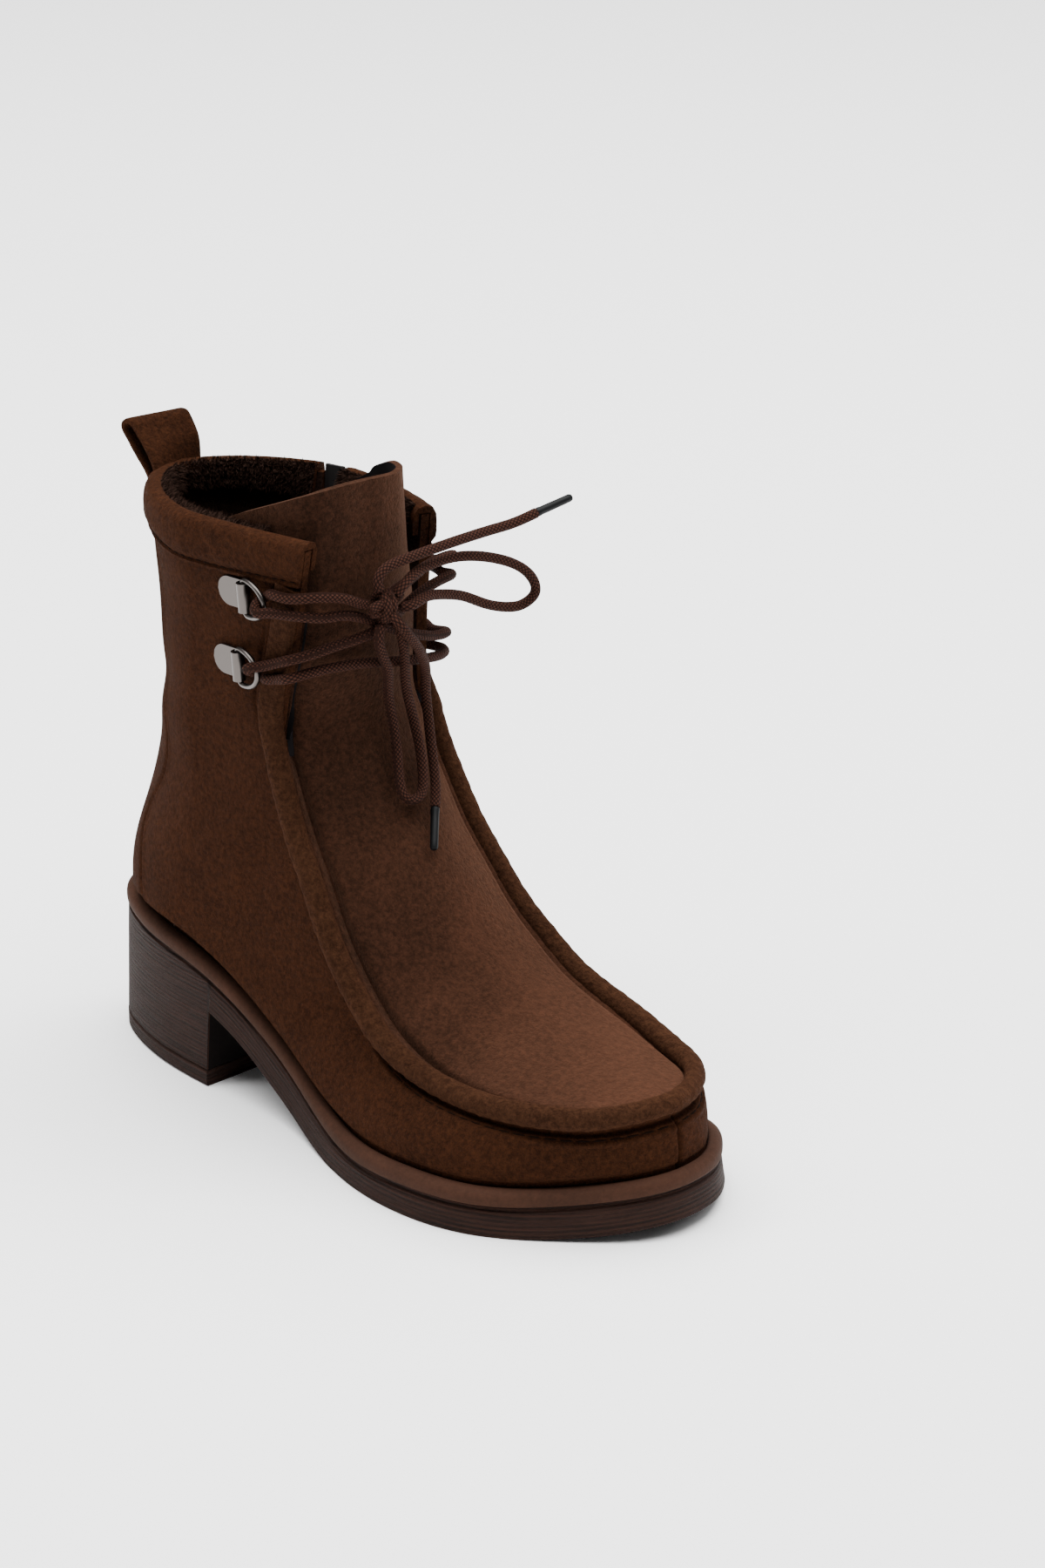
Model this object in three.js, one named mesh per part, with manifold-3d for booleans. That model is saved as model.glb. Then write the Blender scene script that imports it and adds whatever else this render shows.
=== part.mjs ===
// Lace-up ankle boot for the right foot, in millimetres.
// Origin: centre of the heel's floor face. +X toe, +Y inner side of the foot, +Z up.
import * as THREE from 'three';
import Module from 'manifold-3d';

const wasm = await Module();
wasm.setup();

// Sole sizes
const soleLength = 258;
const ballWidth = 98;
const seatHeight = 47.5;
const heelLength = 68;
const breastHeight = 28.3;
const breastSlant = 2;
const topLiftThickness = 5.7;
const toeSpring = 5.7;
const soleFlare = 1.3;
const edgeStep = 0.8;
const weltHeight = 5.5;
const weltWidth = 4.1;
const weltProud = 0.5;
const insoleThickness = 3;

// Upper sizes
const shaftHeight = 155.5;
const wallThickness = 2.8;
const plugThickness = 2.8;
const tongueThickness = 2.2;
const tongueRise = 18;
const rollWidth = 8.6;
const rollProud = 4.4;
const stripWidth = 9.5;
const stripProud = 1.3;
const bandHeight = 16;
const bandThickness = 2.7;
const bandLining = 2;
const bandInside = 8;
const loopWidth = 25;
const loopRise = 14;
const loopThickness = 2.2;
const loopLean = 9;

// Fastening sizes
const zipSlotWidth = 8;
const zipCoilWidth = 5;
const zipCoilHeight = 2.2;
const zipTapeThickness = 1.2;
const zipTapeDepth = 0.8;
const sliderWidth = 8;
const sliderLength = 11;
const sliderThickness = 3;
const pullLength = 28;
const pullWidth = 6;
const pullThickness = 1.4;
const tabLength = 9;
const tabHeight = 10;
const tabThickness = 0.9;
const ringWire = 1.8;
const ringHeight = 12.4;
const ringReach = 10.5;
const ringTilt = 20;
const ringBend = 2;
const laceDiameter = 3.4;
const agletDiameter = 3;
const agletLength = 15;

// Gap left between pieces that touch on the real boot
const clearance = 0.3;
const seatGap = 0.6;

// The seam where the upper meets the sole lies this far inside the sole's edge
const featherInset = weltWidth + 2 * clearance;
const heelCentre = heelLength / 2;

// Facets
const ringSteps = 72;
const wallSteps = 9;
const apronSteps = 6;

function table(columns, rows) {
  const names = columns.split(' ');
  return rows.map((row) => Object.fromEntries(names.map((name, i) => [name, row[i]])));
}

// Half widths of the sole, as shares of the ball width, along its length
const soleOutline = table('along outer inner', [
  [0, 0, 0],
  [0.03, 0.160, 0.163],
  [0.08, 0.235, 0.265],
  [0.16, 0.301, 0.327],
  [0.30, 0.341, 0.311],
  [0.45, 0.385, 0.296],
  [0.60, 0.515, 0.367],
  [0.72, 0.554, 0.439],
  [0.82, 0.497, 0.449],
  [0.90, 0.357, 0.405],
  [0.96, 0.219, 0.267],
  [0.99, 0.111, 0.143],
  [1, 0, 0],
]);

// Height of the sole's top edge, as shares of the seat height, along its length
const soleTop = table('along height', [
  [0, 0.994],
  [0.12, 0.928],
  [0.25, 0.846],
  [0.38, 0.568],
  [0.50, 0.278],
  [0.62, 0.181],
  [0.72, 0.198],
  [0.86, 0.211],
  [1, 0.333],
]);

// Underside of the waist, as shares of the breast height, from the breast to the ball
const waistUnderside = table('along height', [
  [0.265, 1],
  [0.32, 0.82],
  [0.38, 0.53],
  [0.44, 0.26],
  [0.50, 0.07],
  [0.55, 0],
]);
const ballStart = 0.55;
const springStart = 0.84;

// Centre line of the back: height over the seat as a share of the shaft, place as a share of the length
const backLine = table('up along', [
  [0, 0.018],
  [0.042, 0.0145],
  [0.119, 0.015],
  [0.26, 0.041],
  [0.421, 0.070],
  [0.576, 0.082],
  [0.723, 0.082],
  [0.859, 0.080],
  [1, 0.080],
]);

// Ribs of the last, from the collar down the front edge and round to the toe.
// ox oy oz and ix iy iz: the apron seam's outer and inner point, as shares of the sole length, ball
// width and shaft height, the last over the sole's top edge. up or foot: the rib's far end, on the
// back line or on the sole's edge. ow iw: widest half width. wide: where it lies. power: how square
// the far end turns. crown and lean: how far the apron and the wall swell.
const ribs = table('ox oy oz ix iy iz up foot ow iw wide power crown lean', [
  [0.488, 0.367, 1.227, 0.446, 0.286, 1.172, 1.000, 0, 0.393, 0.388, 0.50, 1.62, 0.102, 0],
  [0.469, 0.357, 1.086, 0.426, 0.316, 1.022, 0.859, 0, 0.378, 0.372, 0.50, 1.60, 0.102, 0],
  [0.447, 0.347, 0.935, 0.415, 0.327, 0.871, 0.723, 0, 0.357, 0.352, 0.50, 1.55, 0.102, 0],
  [0.420, 0.337, 0.766, 0.415, 0.327, 0.742, 0.576, 0, 0.342, 0.342, 0.50, 1.50, 0.112, 0],
  [0.430, 0.337, 0.652, 0.430, 0.327, 0.652, 0.421, 0, 0.339, 0.337, 0.50, 1.50, 0.122, 0],
  [0.455, 0.337, 0.557, 0.465, 0.327, 0.575, 0.260, 0, 0.342, 0.337, 0.50, 1.65, 0.133, 0],
  [0.478, 0.342, 0.506, 0.496, 0.327, 0.518, 0.119, 0, 0.347, 0.342, 0.47, 1.80, 0.133, 0],
  [0.499, 0.347, 0.451, 0.535, 0.327, 0.464, 0, 0, 0.352, 0.342, 0.42, 1.85, 0.133, 0],
  [0.535, 0.357, 0.374, 0.581, 0.327, 0.398, 0, 0.05, 0.362, 0.347, 0.40, 2, 0.122, 0],
  [0.583, 0.357, 0.286, 0.636, 0.327, 0.337, 0, 0.20, 0.378, 0.357, 0.45, 2, 0.112, 0],
  [0.630, 0.367, 0.236, 0.690, 0.316, 0.289, 0, 0.40, 0.418, 0.367, 0.45, 2, 0.102, 0],
  [0.702, 0.367, 0.192, 0.748, 0.316, 0.254, 0, 0.62, 0.510, 0.388, 0.40, 2, 0.082, 0],
  [0.791, 0.362, 0.183, 0.810, 0.311, 0.225, 0, 0.78, 0.500, 0.429, 0.40, 2, 0.071, 0],
  [0.872, 0.316, 0.187, 0.876, 0.281, 0.200, 0, 0.885, 0.383, 0.398, 0.40, 2, 0.051, 0.005],
  [0.924, 0.238, 0.181, 0.924, 0.230, 0.189, 0, 0.945, 0.260, 0.276, 0.40, 2, 0.031, 0.010],
  [0.959, 0.122, 0.180, 0.959, 0.122, 0.183, 0, 0.985, 0.128, 0.143, 0.40, 2, 0.010, 0.015],
  [0.973, 0, 0.181, 0.973, 0, 0.181, 0, 1, 0, 0, 0.40, 2, 0, 0.018],
]);
const lastRib = ribs.length - 1;
const seatRib = 7;
const throatRib = 3.2;

// Natural cubic spline through the points, straight beyond its ends
function spline(xs, ys) {
  const n = xs.length;
  const upper = new Array(n).fill(0);
  const right = new Array(n).fill(0);
  const bend = new Array(n).fill(0);
  for (let i = 1; i < n - 1; i += 1) {
    const before = xs[i] - xs[i - 1];
    const after = xs[i + 1] - xs[i];
    const turn = 6 * ((ys[i + 1] - ys[i]) / after - (ys[i] - ys[i - 1]) / before);
    const pivot = 2 * (before + after) - before * upper[i - 1];
    upper[i] = after / pivot;
    right[i] = (turn - before * right[i - 1]) / pivot;
  }
  for (let i = n - 2; i > 0; i -= 1) {
    bend[i] = right[i] - upper[i] * bend[i + 1];
  }
  const slopeAt = (i, j, side) => (ys[j] - ys[i]) / (xs[j] - xs[i])
    - side * (xs[j] - xs[i]) * (side > 0 ? 2 * bend[i] + bend[j] : bend[i] + 2 * bend[j]) / 6;
  return (x) => {
    if (x <= xs[0]) return ys[0] + (x - xs[0]) * slopeAt(0, 1, 1);
    if (x >= xs[n - 1]) return ys[n - 1] + (x - xs[n - 1]) * slopeAt(n - 2, n - 1, -1);
    let i = 0;
    while (x > xs[i + 1]) i += 1;
    const width = xs[i + 1] - xs[i];
    const a = (xs[i + 1] - x) / width;
    const b = 1 - a;
    return a * ys[i] + b * ys[i + 1]
      + ((a ** 3 - a) * bend[i] + (b ** 3 - b) * bend[i + 1]) * width ** 2 / 6;
  };
}

const column = (rows, name) => rows.map((row) => row[name]);
const splineOf = (rows, from, to) => spline(column(rows, from), column(rows, to));

// Sole outline: an angle of 0 is the back, pi the toe, the outer side comes first
const endAngle = (along) => Math.acos(1 - 2 * THREE.MathUtils.clamp(along, 0, 1));
const outlineAngles = soleOutline.map((row) => endAngle(row.along));
const outerHalf = spline(outlineAngles, column(soleOutline, 'outer'));
const innerHalf = spline(outlineAngles, column(soleOutline, 'inner'));

function edgePoint(angle) {
  const turn = THREE.MathUtils.euclideanModulo(angle, 2 * Math.PI);
  const outer = turn <= Math.PI;
  const half = outer ? -outerHalf(turn) : innerHalf(2 * Math.PI - turn);
  const along = (1 - Math.cos(turn)) / 2;
  return new THREE.Vector2(along * soleLength - heelCentre, half * ballWidth);
}

function outline(angle, inset = 0) {
  const step = 1e-3;
  const tangent = edgePoint(angle + step).sub(edgePoint(angle - step)).normalize();
  const point = edgePoint(angle);
  return new THREE.Vector2(point.x - inset * tangent.y, point.y + inset * tangent.x);
}

const alongOf = (x) => THREE.MathUtils.clamp((x + heelCentre) / soleLength, 0, 1);
const topShare = splineOf(soleTop, 'along', 'height');
const soleEdgeHeight = (x) => topShare(alongOf(x)) * seatHeight;
const waistShare = splineOf(waistUnderside, 'along', 'height');

function soleUnderside(x) {
  const along = alongOf(x);
  if (along <= waistUnderside[0].along) return breastHeight;
  if (along < ballStart) return Math.max(0, waistShare(along)) * breastHeight;
  const spring = Math.max(0, along - springStart) / (1 - springStart);
  return toeSpring * spring ** 2;
}

// Geometry from triangles: alike corners are joined and flat triangles dropped
function weld(triangles) {
  const places = new Map();
  const positions = [];
  const index = [];
  const idOf = (p) => {
    const key = [p.x, p.y, p.z].map((v) => Math.round(v * 1e4)).join(',');
    if (!places.has(key)) {
      places.set(key, places.size);
      positions.push(p.x, p.y, p.z);
    }
    return places.get(key);
  };
  for (const triangle of triangles) {
    const [a, b, c] = triangle.map(idOf);
    if (a !== b && b !== c && a !== c) index.push(a, b, c);
  }
  const geometry = new THREE.BufferGeometry();
  geometry.setAttribute('position', new THREE.Float32BufferAttribute(positions, 3));
  geometry.setIndex(index);
  return geometry;
}

function volumeOf(geometry) {
  const position = geometry.getAttribute('position');
  const index = geometry.getIndex();
  const at = (i) => new THREE.Vector3().fromBufferAttribute(position, index.getX(i));
  let sum = 0;
  for (let i = 0; i < index.count; i += 3) {
    sum += at(i).dot(at(i + 1).cross(at(i + 2))) / 6;
  }
  return sum;
}

// Turns a closed shape's faces outwards
function facingOut(geometry) {
  if (volumeOf(geometry) < 0) {
    const index = geometry.getIndex().array;
    for (let i = 0; i < index.length; i += 3) {
      [index[i + 1], index[i + 2]] = [index[i + 2], index[i + 1]];
    }
  }
  return geometry;
}

function gridTriangles(rows, closed = false) {
  const triangles = [];
  for (let i = 0; i + 1 < rows.length; i += 1) {
    const count = rows[i].length;
    for (let j = 0; j + (closed ? 0 : 1) < count; j += 1) {
      const k = (j + 1) % count;
      triangles.push([rows[i][j], rows[i + 1][j], rows[i + 1][k]]);
      triangles.push([rows[i][j], rows[i + 1][k], rows[i][k]]);
    }
  }
  return triangles;
}

// Cap over a sole-like ring, whose points lie in pairs across its length
function pairedCap(ring, turned) {
  const triangles = [];
  const n = ring.length;
  for (let i = 0; i < n / 2; i += 1) {
    const a = ring[i];
    const b = ring[i + 1];
    const c = ring[(n - i - 1) % n];
    const d = ring[(n - i) % n];
    triangles.push([a, b, c], [a, c, d]);
  }
  return turned ? triangles.map(([a, b, c]) => [a, c, b]) : triangles;
}

function fanCap(ring, turned) {
  const triangles = [];
  for (let i = 1; i + 1 < ring.length; i += 1) {
    triangles.push(turned ? [ring[0], ring[i + 1], ring[i]] : [ring[0], ring[i], ring[i + 1]]);
  }
  return triangles;
}

// Cap over a section of any shape, cut into triangles on its own flat plan
function planCap(plan) {
  const points = plan.map(([u, v]) => new THREE.Vector2(u, v));
  const faces = THREE.ShapeUtils.triangulateShape(points, []);
  const areaOf = (ids) => THREE.ShapeUtils.area(ids.map((i) => points[i]));
  const alike = areaOf(points.map((_, i) => i)) * areaOf(faces[0]) > 0;
  return (ring, turned) => faces.map((face) => {
    const [a, b, c] = face.map((i) => ring[i]);
    return turned === alike ? [a, c, b] : [a, b, c];
  });
}

// Closed solid through rings of points, joined end to end or capped
function loft(rings, { looped = false, cap = fanCap } = {}) {
  const rows = looped ? [...rings, rings[0]] : rings;
  const triangles = gridTriangles(rows, true);
  if (!looped) {
    triangles.push(...cap(rings[0], false), ...cap(rings[rings.length - 1], true));
  }
  return facingOut(weld(triangles));
}

// Solid wall from an open sheet: the sheet is its outer face, normals may be levelled at its rims
function thicken(sheet, thickness, levelled = () => false) {
  sheet.computeVertexNormals();
  const position = sheet.getAttribute('position');
  const normal = sheet.getAttribute('normal');
  const index = sheet.getIndex().array;
  const outer = [];
  const inner = [];
  for (let i = 0; i < position.count; i += 1) {
    const p = new THREE.Vector3().fromBufferAttribute(position, i);
    const n = new THREE.Vector3().fromBufferAttribute(normal, i);
    if (levelled(p)) n.setZ(0).normalize();
    outer.push(p);
    inner.push(p.clone().addScaledVector(n, -thickness));
  }
  const triangles = [];
  const edges = new Map();
  for (let i = 0; i < index.length; i += 3) {
    const [a, b, c] = [index[i], index[i + 1], index[i + 2]];
    triangles.push([outer[a], outer[b], outer[c]], [inner[a], inner[c], inner[b]]);
    for (const [s, e] of [[a, b], [b, c], [c, a]]) {
      if (!edges.delete(`${e},${s}`)) edges.set(`${s},${e}`, [s, e]);
    }
  }
  for (const [s, e] of edges.values()) {
    triangles.push([outer[s], inner[s], inner[e]], [outer[s], inner[e], outer[e]]);
  }
  return facingOut(weld(triangles));
}

function trianglesOf(geometry) {
  const plain = geometry.index ? geometry.toNonIndexed() : geometry;
  const position = plain.getAttribute('position');
  const triangles = [];
  for (let i = 0; i < position.count; i += 3) {
    triangles.push([0, 1, 2].map((k) => new THREE.Vector3().fromBufferAttribute(position, i + k)));
  }
  return triangles;
}

function toManifold(geometry) {
  const solid = facingOut(weld(trianglesOf(geometry)));
  return new wasm.Manifold(new wasm.Mesh({
    numProp: 3,
    vertProperties: new Float32Array(solid.getAttribute('position').array),
    triVerts: new Uint32Array(solid.getIndex().array),
  }));
}

function fromManifold(solid) {
  const mesh = solid.getMesh();
  const geometry = new THREE.BufferGeometry();
  const points = new Float32Array(mesh.numVert * 3);
  for (let i = 0; i < mesh.numVert; i += 1) {
    for (let k = 0; k < 3; k += 1) points[i * 3 + k] = mesh.vertProperties[i * mesh.numProp + k];
  }
  geometry.setAttribute('position', new THREE.BufferAttribute(points, 3));
  geometry.setIndex(new THREE.BufferAttribute(new Uint32Array(mesh.triVerts), 1));
  return geometry;
}

const joined = (...parts) => fromManifold(parts.map(toManifold).reduce((a, b) => a.add(b)));
const cutBy = (body, tool) => fromManifold(toManifold(body).subtract(toManifold(tool)));

// Angles round the sole, in pairs, with the heel breast's two lines among them
const breastAlong = heelLength / soleLength;
const slantAlong = (heelLength + breastSlant) / soleLength;

function soleAngles() {
  const breast = [endAngle(breastAlong), endAngle(slantAlong)];
  const spacing = (2 * Math.PI) / ringSteps;
  const half = Array.from({ length: ringSteps / 2 + 1 }, (_, i) => i * spacing)
    .filter((a) => breast.every((b) => Math.abs(a - b) > spacing / 3));
  const outer = [...half, ...breast].sort((a, b) => a - b);
  const inner = outer.slice(1, -1).reverse().map((a) => 2 * Math.PI - a);
  return [...outer, ...inner];
}

function soleRing(inset, heightAt, angles = soleAngles()) {
  return angles.map((angle) => {
    const p = outline(angle, inset);
    return new THREE.Vector3(p.x, p.y, heightAt(p.x, edgePoint(angle).x));
  });
}

// Outsole: block heel, waist, flat ball and toe spring in one
function outsole() {
  const under = (x, edgeX) => {
    const inHeel = alongOf(edgeX) <= breastAlong + 1e-6;
    return inHeel ? topLiftThickness + clearance : soleUnderside(edgeX);
  };
  const edge = (drop) => (x) => soleEdgeHeight(x) - drop;
  return loft([
    soleRing(-soleFlare, under),
    soleRing(0, edge(edgeStep * 1.5)),
    soleRing(edgeStep, edge(0)),
  ], { cap: pairedCap });
}

// Top lift: the heel's hard-wearing sole
function topLift() {
  const angles = soleAngles().filter((angle) => alongOf(edgePoint(angle).x) <= breastAlong + 1e-6);
  const split = angles.findIndex((angle) => angle > Math.PI);
  const ordered = [...angles.slice(0, split), ...angles.slice(split)];
  const flare = soleFlare * 1.1;
  return loft([
    soleRing(-flare, () => 0, ordered),
    soleRing(-flare, () => topLiftThickness, ordered),
  ], { cap: heelCap });
}

// Cap over the heel's ring, which is cut straight across at the breast
function heelCap(ring, turned) {
  const triangles = [];
  const n = ring.length;
  for (let i = 0; i < (n - 1) / 2; i += 1) {
    triangles.push([ring[i], ring[i + 1], ring[n - i - 1]], [ring[i], ring[n - i - 1], ring[(n - i) % n]]);
  }
  return turned ? triangles.map(([a, b, c]) => [a, c, b]) : triangles;
}

// Welt: a rounded strip round the sole's top edge
function welt() {
  const section = [
    [edgeStep + 0.1, 0], [-weltProud * 0.6, weltHeight * 0.16], [-weltProud, weltHeight * 0.55],
    [weltWidth * 0.18, weltHeight * 0.9], [weltWidth * 0.6, weltHeight], [weltWidth, weltHeight * 0.96],
    [weltWidth, 0],
  ];
  const steps = Array.from({ length: ringSteps }, (_, i) => (i * 2 * Math.PI) / ringSteps);
  const rings = steps.map((angle) => section.map(([inset, rise]) => {
    const p = outline(angle, inset);
    return new THREE.Vector3(p.x, p.y, soleEdgeHeight(p.x) + clearance + 0.1 + rise);
  }));
  return loft(rings, { looped: true });
}

function insole() {
  const inset = featherInset + wallThickness + 4;
  const above = (rise) => (x) => soleEdgeHeight(x) + seatGap + rise;
  return loft([
    soleRing(inset, above(0)),
    soleRing(inset, above(insoleThickness)),
  ], { cap: pairedCap });
}

// The last: each column of the rib table as a curve, read at any rib number
const ribNumbers = ribs.map((_, i) => i);
const ribCurve = Object.fromEntries(Object.keys(ribs[0])
  .map((name) => [name, spline(ribNumbers, column(ribs, name))]));
const backAlong = splineOf(backLine, 'up', 'along');
// The far end's parameter: height over the seat counted down to 0, then way along the sole's edge
const edgePace = soleLength * 0.39;
const farCurve = spline(ribNumbers, ribs.map((row) => (row.foot > 0
  ? endAngle(row.foot) * edgePace : -row.up * shaftHeight)));

function farPoint(rib, side) {
  const far = farCurve(rib);
  if (far < -1e-9) {
    const x = backAlong(-far / shaftHeight) * soleLength - heelCentre;
    return new THREE.Vector3(x, 0, seatHeight - far);
  }
  const turn = Math.min(Math.max(far, 0) / edgePace, Math.PI);
  const p = outline(side < 0 ? turn : 2 * Math.PI - turn, featherInset);
  if (turn === 0 || turn > Math.PI - 1e-6) p.y = 0;
  return new THREE.Vector3(p.x, p.y, soleEdgeHeight(p.x) + seatGap);
}

function seamPoint(rib, side) {
  const [along, across, height] = side < 0 ? ['ox', 'oy', 'oz'] : ['ix', 'iy', 'iz'];
  const x = ribCurve[along](rib) * soleLength - heelCentre;
  const z = soleEdgeHeight(x) + ribCurve[height](rib) * shaftHeight;
  return new THREE.Vector3(x, side * Math.max(0, ribCurve[across](rib)) * ballWidth, z);
}

// Height over the sole's edge up to which the wall stands upright behind the welt
const footRise = weltHeight + seatGap + 3 * clearance;

// Inside the welt the wall keeps to the feather edge, and only above it swells over the sole
const featherRing = Array.from({ length: 144 }, (_, i) => outline((i * Math.PI) / 72, featherInset));

function keptOffWelt(point) {
  const rise = point.z - soleEdgeHeight(point.x);
  const allowed = Math.max(0, rise - footRise) * 1.2;
  if (allowed > 8) return point;
  let nearest = { distance: Infinity };
  const here = new THREE.Vector2(point.x, point.y);
  featherRing.forEach((a, i) => {
    const b = featherRing[(i + 1) % featherRing.length];
    const way = b.clone().sub(a);
    const part = THREE.MathUtils.clamp(here.clone().sub(a).dot(way) / way.lengthSq(), 0, 1);
    const foot = a.clone().addScaledVector(way, part);
    const distance = foot.distanceTo(here);
    if (distance < nearest.distance) {
      const outward = new THREE.Vector2(way.y, -way.x).normalize();
      nearest = { distance, outward, over: here.clone().sub(foot).dot(outward) };
    }
  });
  const excess = nearest.over - allowed;
  if (excess <= 0) return point;
  point.x -= nearest.outward.x * excess;
  point.y -= nearest.outward.y * excess;
  return point;
}

// The upper's outer face: reach 0 is the rib's far end, 1 the apron seam
function wallPoint(rib, reach, side) {
  const far = farPoint(rib, side);
  const seam = seamPoint(rib, side);
  const wide = ribCurve.wide(rib);
  const power = ribCurve.power(rib);
  const start = Math.abs(far.y);
  const end = Math.abs(seam.y);
  const most = Math.max(start, Math.max(0, ribCurve[side < 0 ? 'ow' : 'iw'](rib)) * ballWidth);
  let half = 0;
  if (reach < wide) {
    half = start + (most - start) * (1 - (1 - reach / wide) ** power) ** (1 / power);
  } else {
    half = most + (end - most) * ((reach - wide) / (1 - wide)) ** 2;
  }
  const lean = Math.max(0, ribCurve.lean(rib)) * soleLength * reach * (1 - reach) * 2;
  const point = far.clone().lerp(seam, reach);
  point.x += lean;
  point.y = side * half;
  return reach > 0 && reach < 1 ? keptOffWelt(point) : point;
}

// The apron's outer face: across runs from -1 at the outer seam to 1 at the inner one
function apronUp(rib) {
  const step = 0.05;
  const middle = (r) => seamPoint(r, -1).add(seamPoint(r, 1)).multiplyScalar(0.5);
  const way = middle(Math.min(rib + step, lastRib)).sub(middle(Math.min(rib, lastRib - step) - step));
  return new THREE.Vector3(-way.z, 0, way.x).normalize();
}

function apronPoint(rib, across) {
  const outer = seamPoint(rib, -1);
  const inner = seamPoint(rib, 1);
  const crown = Math.max(0, ribCurve.crown(rib)) * ballWidth * (1 - across ** 2);
  return outer.lerp(inner, (1 + across) / 2).addScaledVector(apronUp(rib), crown);
}

const spread = (from, to, steps) => Array.from({ length: steps + 1 }, (_, i) => from + ((to - from) * i) / steps);
const eased = (part) => (1 - Math.cos(part * Math.PI)) / 2;

// Unit normal of a face given as a function of two numbers
function normalOf(face, a, b, outwards) {
  const step = 1e-3;
  const da = face(a + step, b).sub(face(a - step, b));
  const db = face(a, b + step).sub(face(a, b - step));
  const n = da.cross(db).normalize();
  return n.dot(outwards) < 0 ? n.negate() : n;
}

function wallNormal(rib, reach, side) {
  const safe = THREE.MathUtils.clamp(reach, 0.01, 0.98);
  return normalOf((r, u) => wallPoint(r, u, side), rib, safe, new THREE.Vector3(-1 + safe * 1.2, side, 0));
}

// Place on the wall at a given x and height, found by halving the rib number
function onWall(x, z, side, depth = 0) {
  let low = 0;
  let high = seatRib + 2;
  let reach = 0;
  for (let i = 0; i < 40; i += 1) {
    const rib = (low + high) / 2;
    const far = farPoint(rib, side);
    const seam = seamPoint(rib, side);
    reach = (x - far.x) / (seam.x - far.x);
    if (far.z + (seam.z - far.z) * reach > z) low = rib;
    else high = rib;
  }
  const normal = wallNormal(low, reach, side);
  return { point: wallPoint(low, reach, side).addScaledVector(normal, -depth), normal };
}

// Where a rib crosses the top of its upright foot; on the back ribs a fixed short way in
function footReach(rib, side) {
  const short = 0.02;
  if (farCurve(rib) < 0) return THREE.MathUtils.lerp(short, 0.16, Math.max(0, (rib - 5) / 2));
  let low = 0;
  let high = 0.6;
  for (let i = 0; i < 24; i += 1) {
    const reach = (low + high) / 2;
    const p = farPoint(rib, side).lerp(seamPoint(rib, side), reach);
    if (p.z - soleEdgeHeight(p.x) < footRise) low = reach;
    else high = reach;
  }
  return low;
}

// Rib numbers of the upper's rows, closer together round the heel and the waist
const upperRows = [...spread(0, seatRib, 13), ...spread(seatRib, 12, 20).slice(1),
  ...spread(12, lastRib, 11).slice(1)];

function wallRows(side) {
  return upperRows.map((rib) => {
    const foot = footReach(rib, side);
    const reaches = [0, ...spread(0, 1, wallSteps - 1).map((part) => {
      const even = THREE.MathUtils.lerp(eased(part), part, 0.4);
      return foot + (1 - foot) * even;
    })];
    return reaches.map((reach) => wallPoint(rib, reach, side));
  });
}

// Roll over the apron seam, flattening to a strip along the shaft's front edges
function rollSection(rib, side, ring) {
  const flat = THREE.MathUtils.smoothstep(rib, 2.4, 3.6);
  const step = 0.02;
  const before = Math.max(0, rib - step);
  const after = Math.min(lastRib, rib + step);
  const way = seamPoint(after, side).sub(seamPoint(before, side));
  if (rib > lastRib - step) way.set(0, -side, 0);
  way.normalize();
  const wallSide = wallPoint(Math.min(rib, lastRib), 0.93, side).sub(seamPoint(rib, side));
  const back = wallSide.addScaledVector(way, -wallSide.dot(way)).normalize();
  const apronSide = rib > lastRib - 0.6
    ? new THREE.Vector3(-1, 0, 0.1)
    : apronPoint(rib, side * 0.8).sub(seamPoint(rib, side));
  apronSide.addScaledVector(way, -apronSide.dot(way)).normalize();
  const wallOut = back.clone().cross(way).normalize();
  if (wallOut.dot(new THREE.Vector3(0.4, side, 0.3)) < 0) wallOut.negate();
  const edgeOut = back.clone().add(apronSide).normalize().negate();
  const out = wallOut.lerp(edgeOut, flat * 0.75).normalize();
  const along = out.clone().cross(way).normalize();
  if (along.dot(back) < 0) along.negate();
  const half = THREE.MathUtils.lerp(stripWidth, rollWidth, flat) / 2;
  const proud = THREE.MathUtils.lerp(stripProud, rollProud, flat);
  const sunk = THREE.MathUtils.lerp(1, 2.2, flat);
  const shift = THREE.MathUtils.lerp(stripWidth * 0.52, rollWidth * 0.16, flat);
  const centre = seamPoint(rib, side).addScaledVector(along, shift)
    .addScaledVector(out, (proud - sunk) / 2);
  const tall = (proud + sunk) / 2;
  return ring.map((turn) => centre.clone()
    .addScaledVector(along, half * Math.cos(turn)).addScaledVector(out, tall * Math.sin(turn)));
}

function apronRoll() {
  const top = (bandHeight + 1.6) / 22;
  const ring = spread(0, 2 * Math.PI, 8).slice(0, 8);
  const path = [...spread(top + 0.15, 4, 6), ...spread(4, lastRib, 26).slice(1)];
  const outer = path.map((rib) => rollSection(rib, -1, ring));
  const inner = path.slice(0, -1).reverse().map((rib) => rollSection(rib, 1, ring));
  return loft([...outer, ...inner]);
}

// Upper: wall and apron as one sheet, given its thickness, with the roll over their seam
function upperShell() {
  const triangles = [];
  for (const side of [-1, 1]) {
    const quads = gridTriangles(wallRows(side));
    triangles.push(...(side < 0 ? quads : quads.map(([a, b, c]) => [a, c, b])));
  }
  const apronRibs = upperRows.filter((rib) => rib > throatRib);
  const rows = apronRibs.map((rib) => spread(-1, 1, apronSteps).map((across) => apronPoint(rib, across)));
  triangles.push(...gridTriangles(rows));
  const collar = (p) => {
    const seat = p.z - soleEdgeHeight(p.x) < seatGap + 0.01;
    return seat || p.z > seatHeight + shaftHeight * 0.985;
  };
  return thicken(weld(triangles), wallThickness, collar);
}

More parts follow.
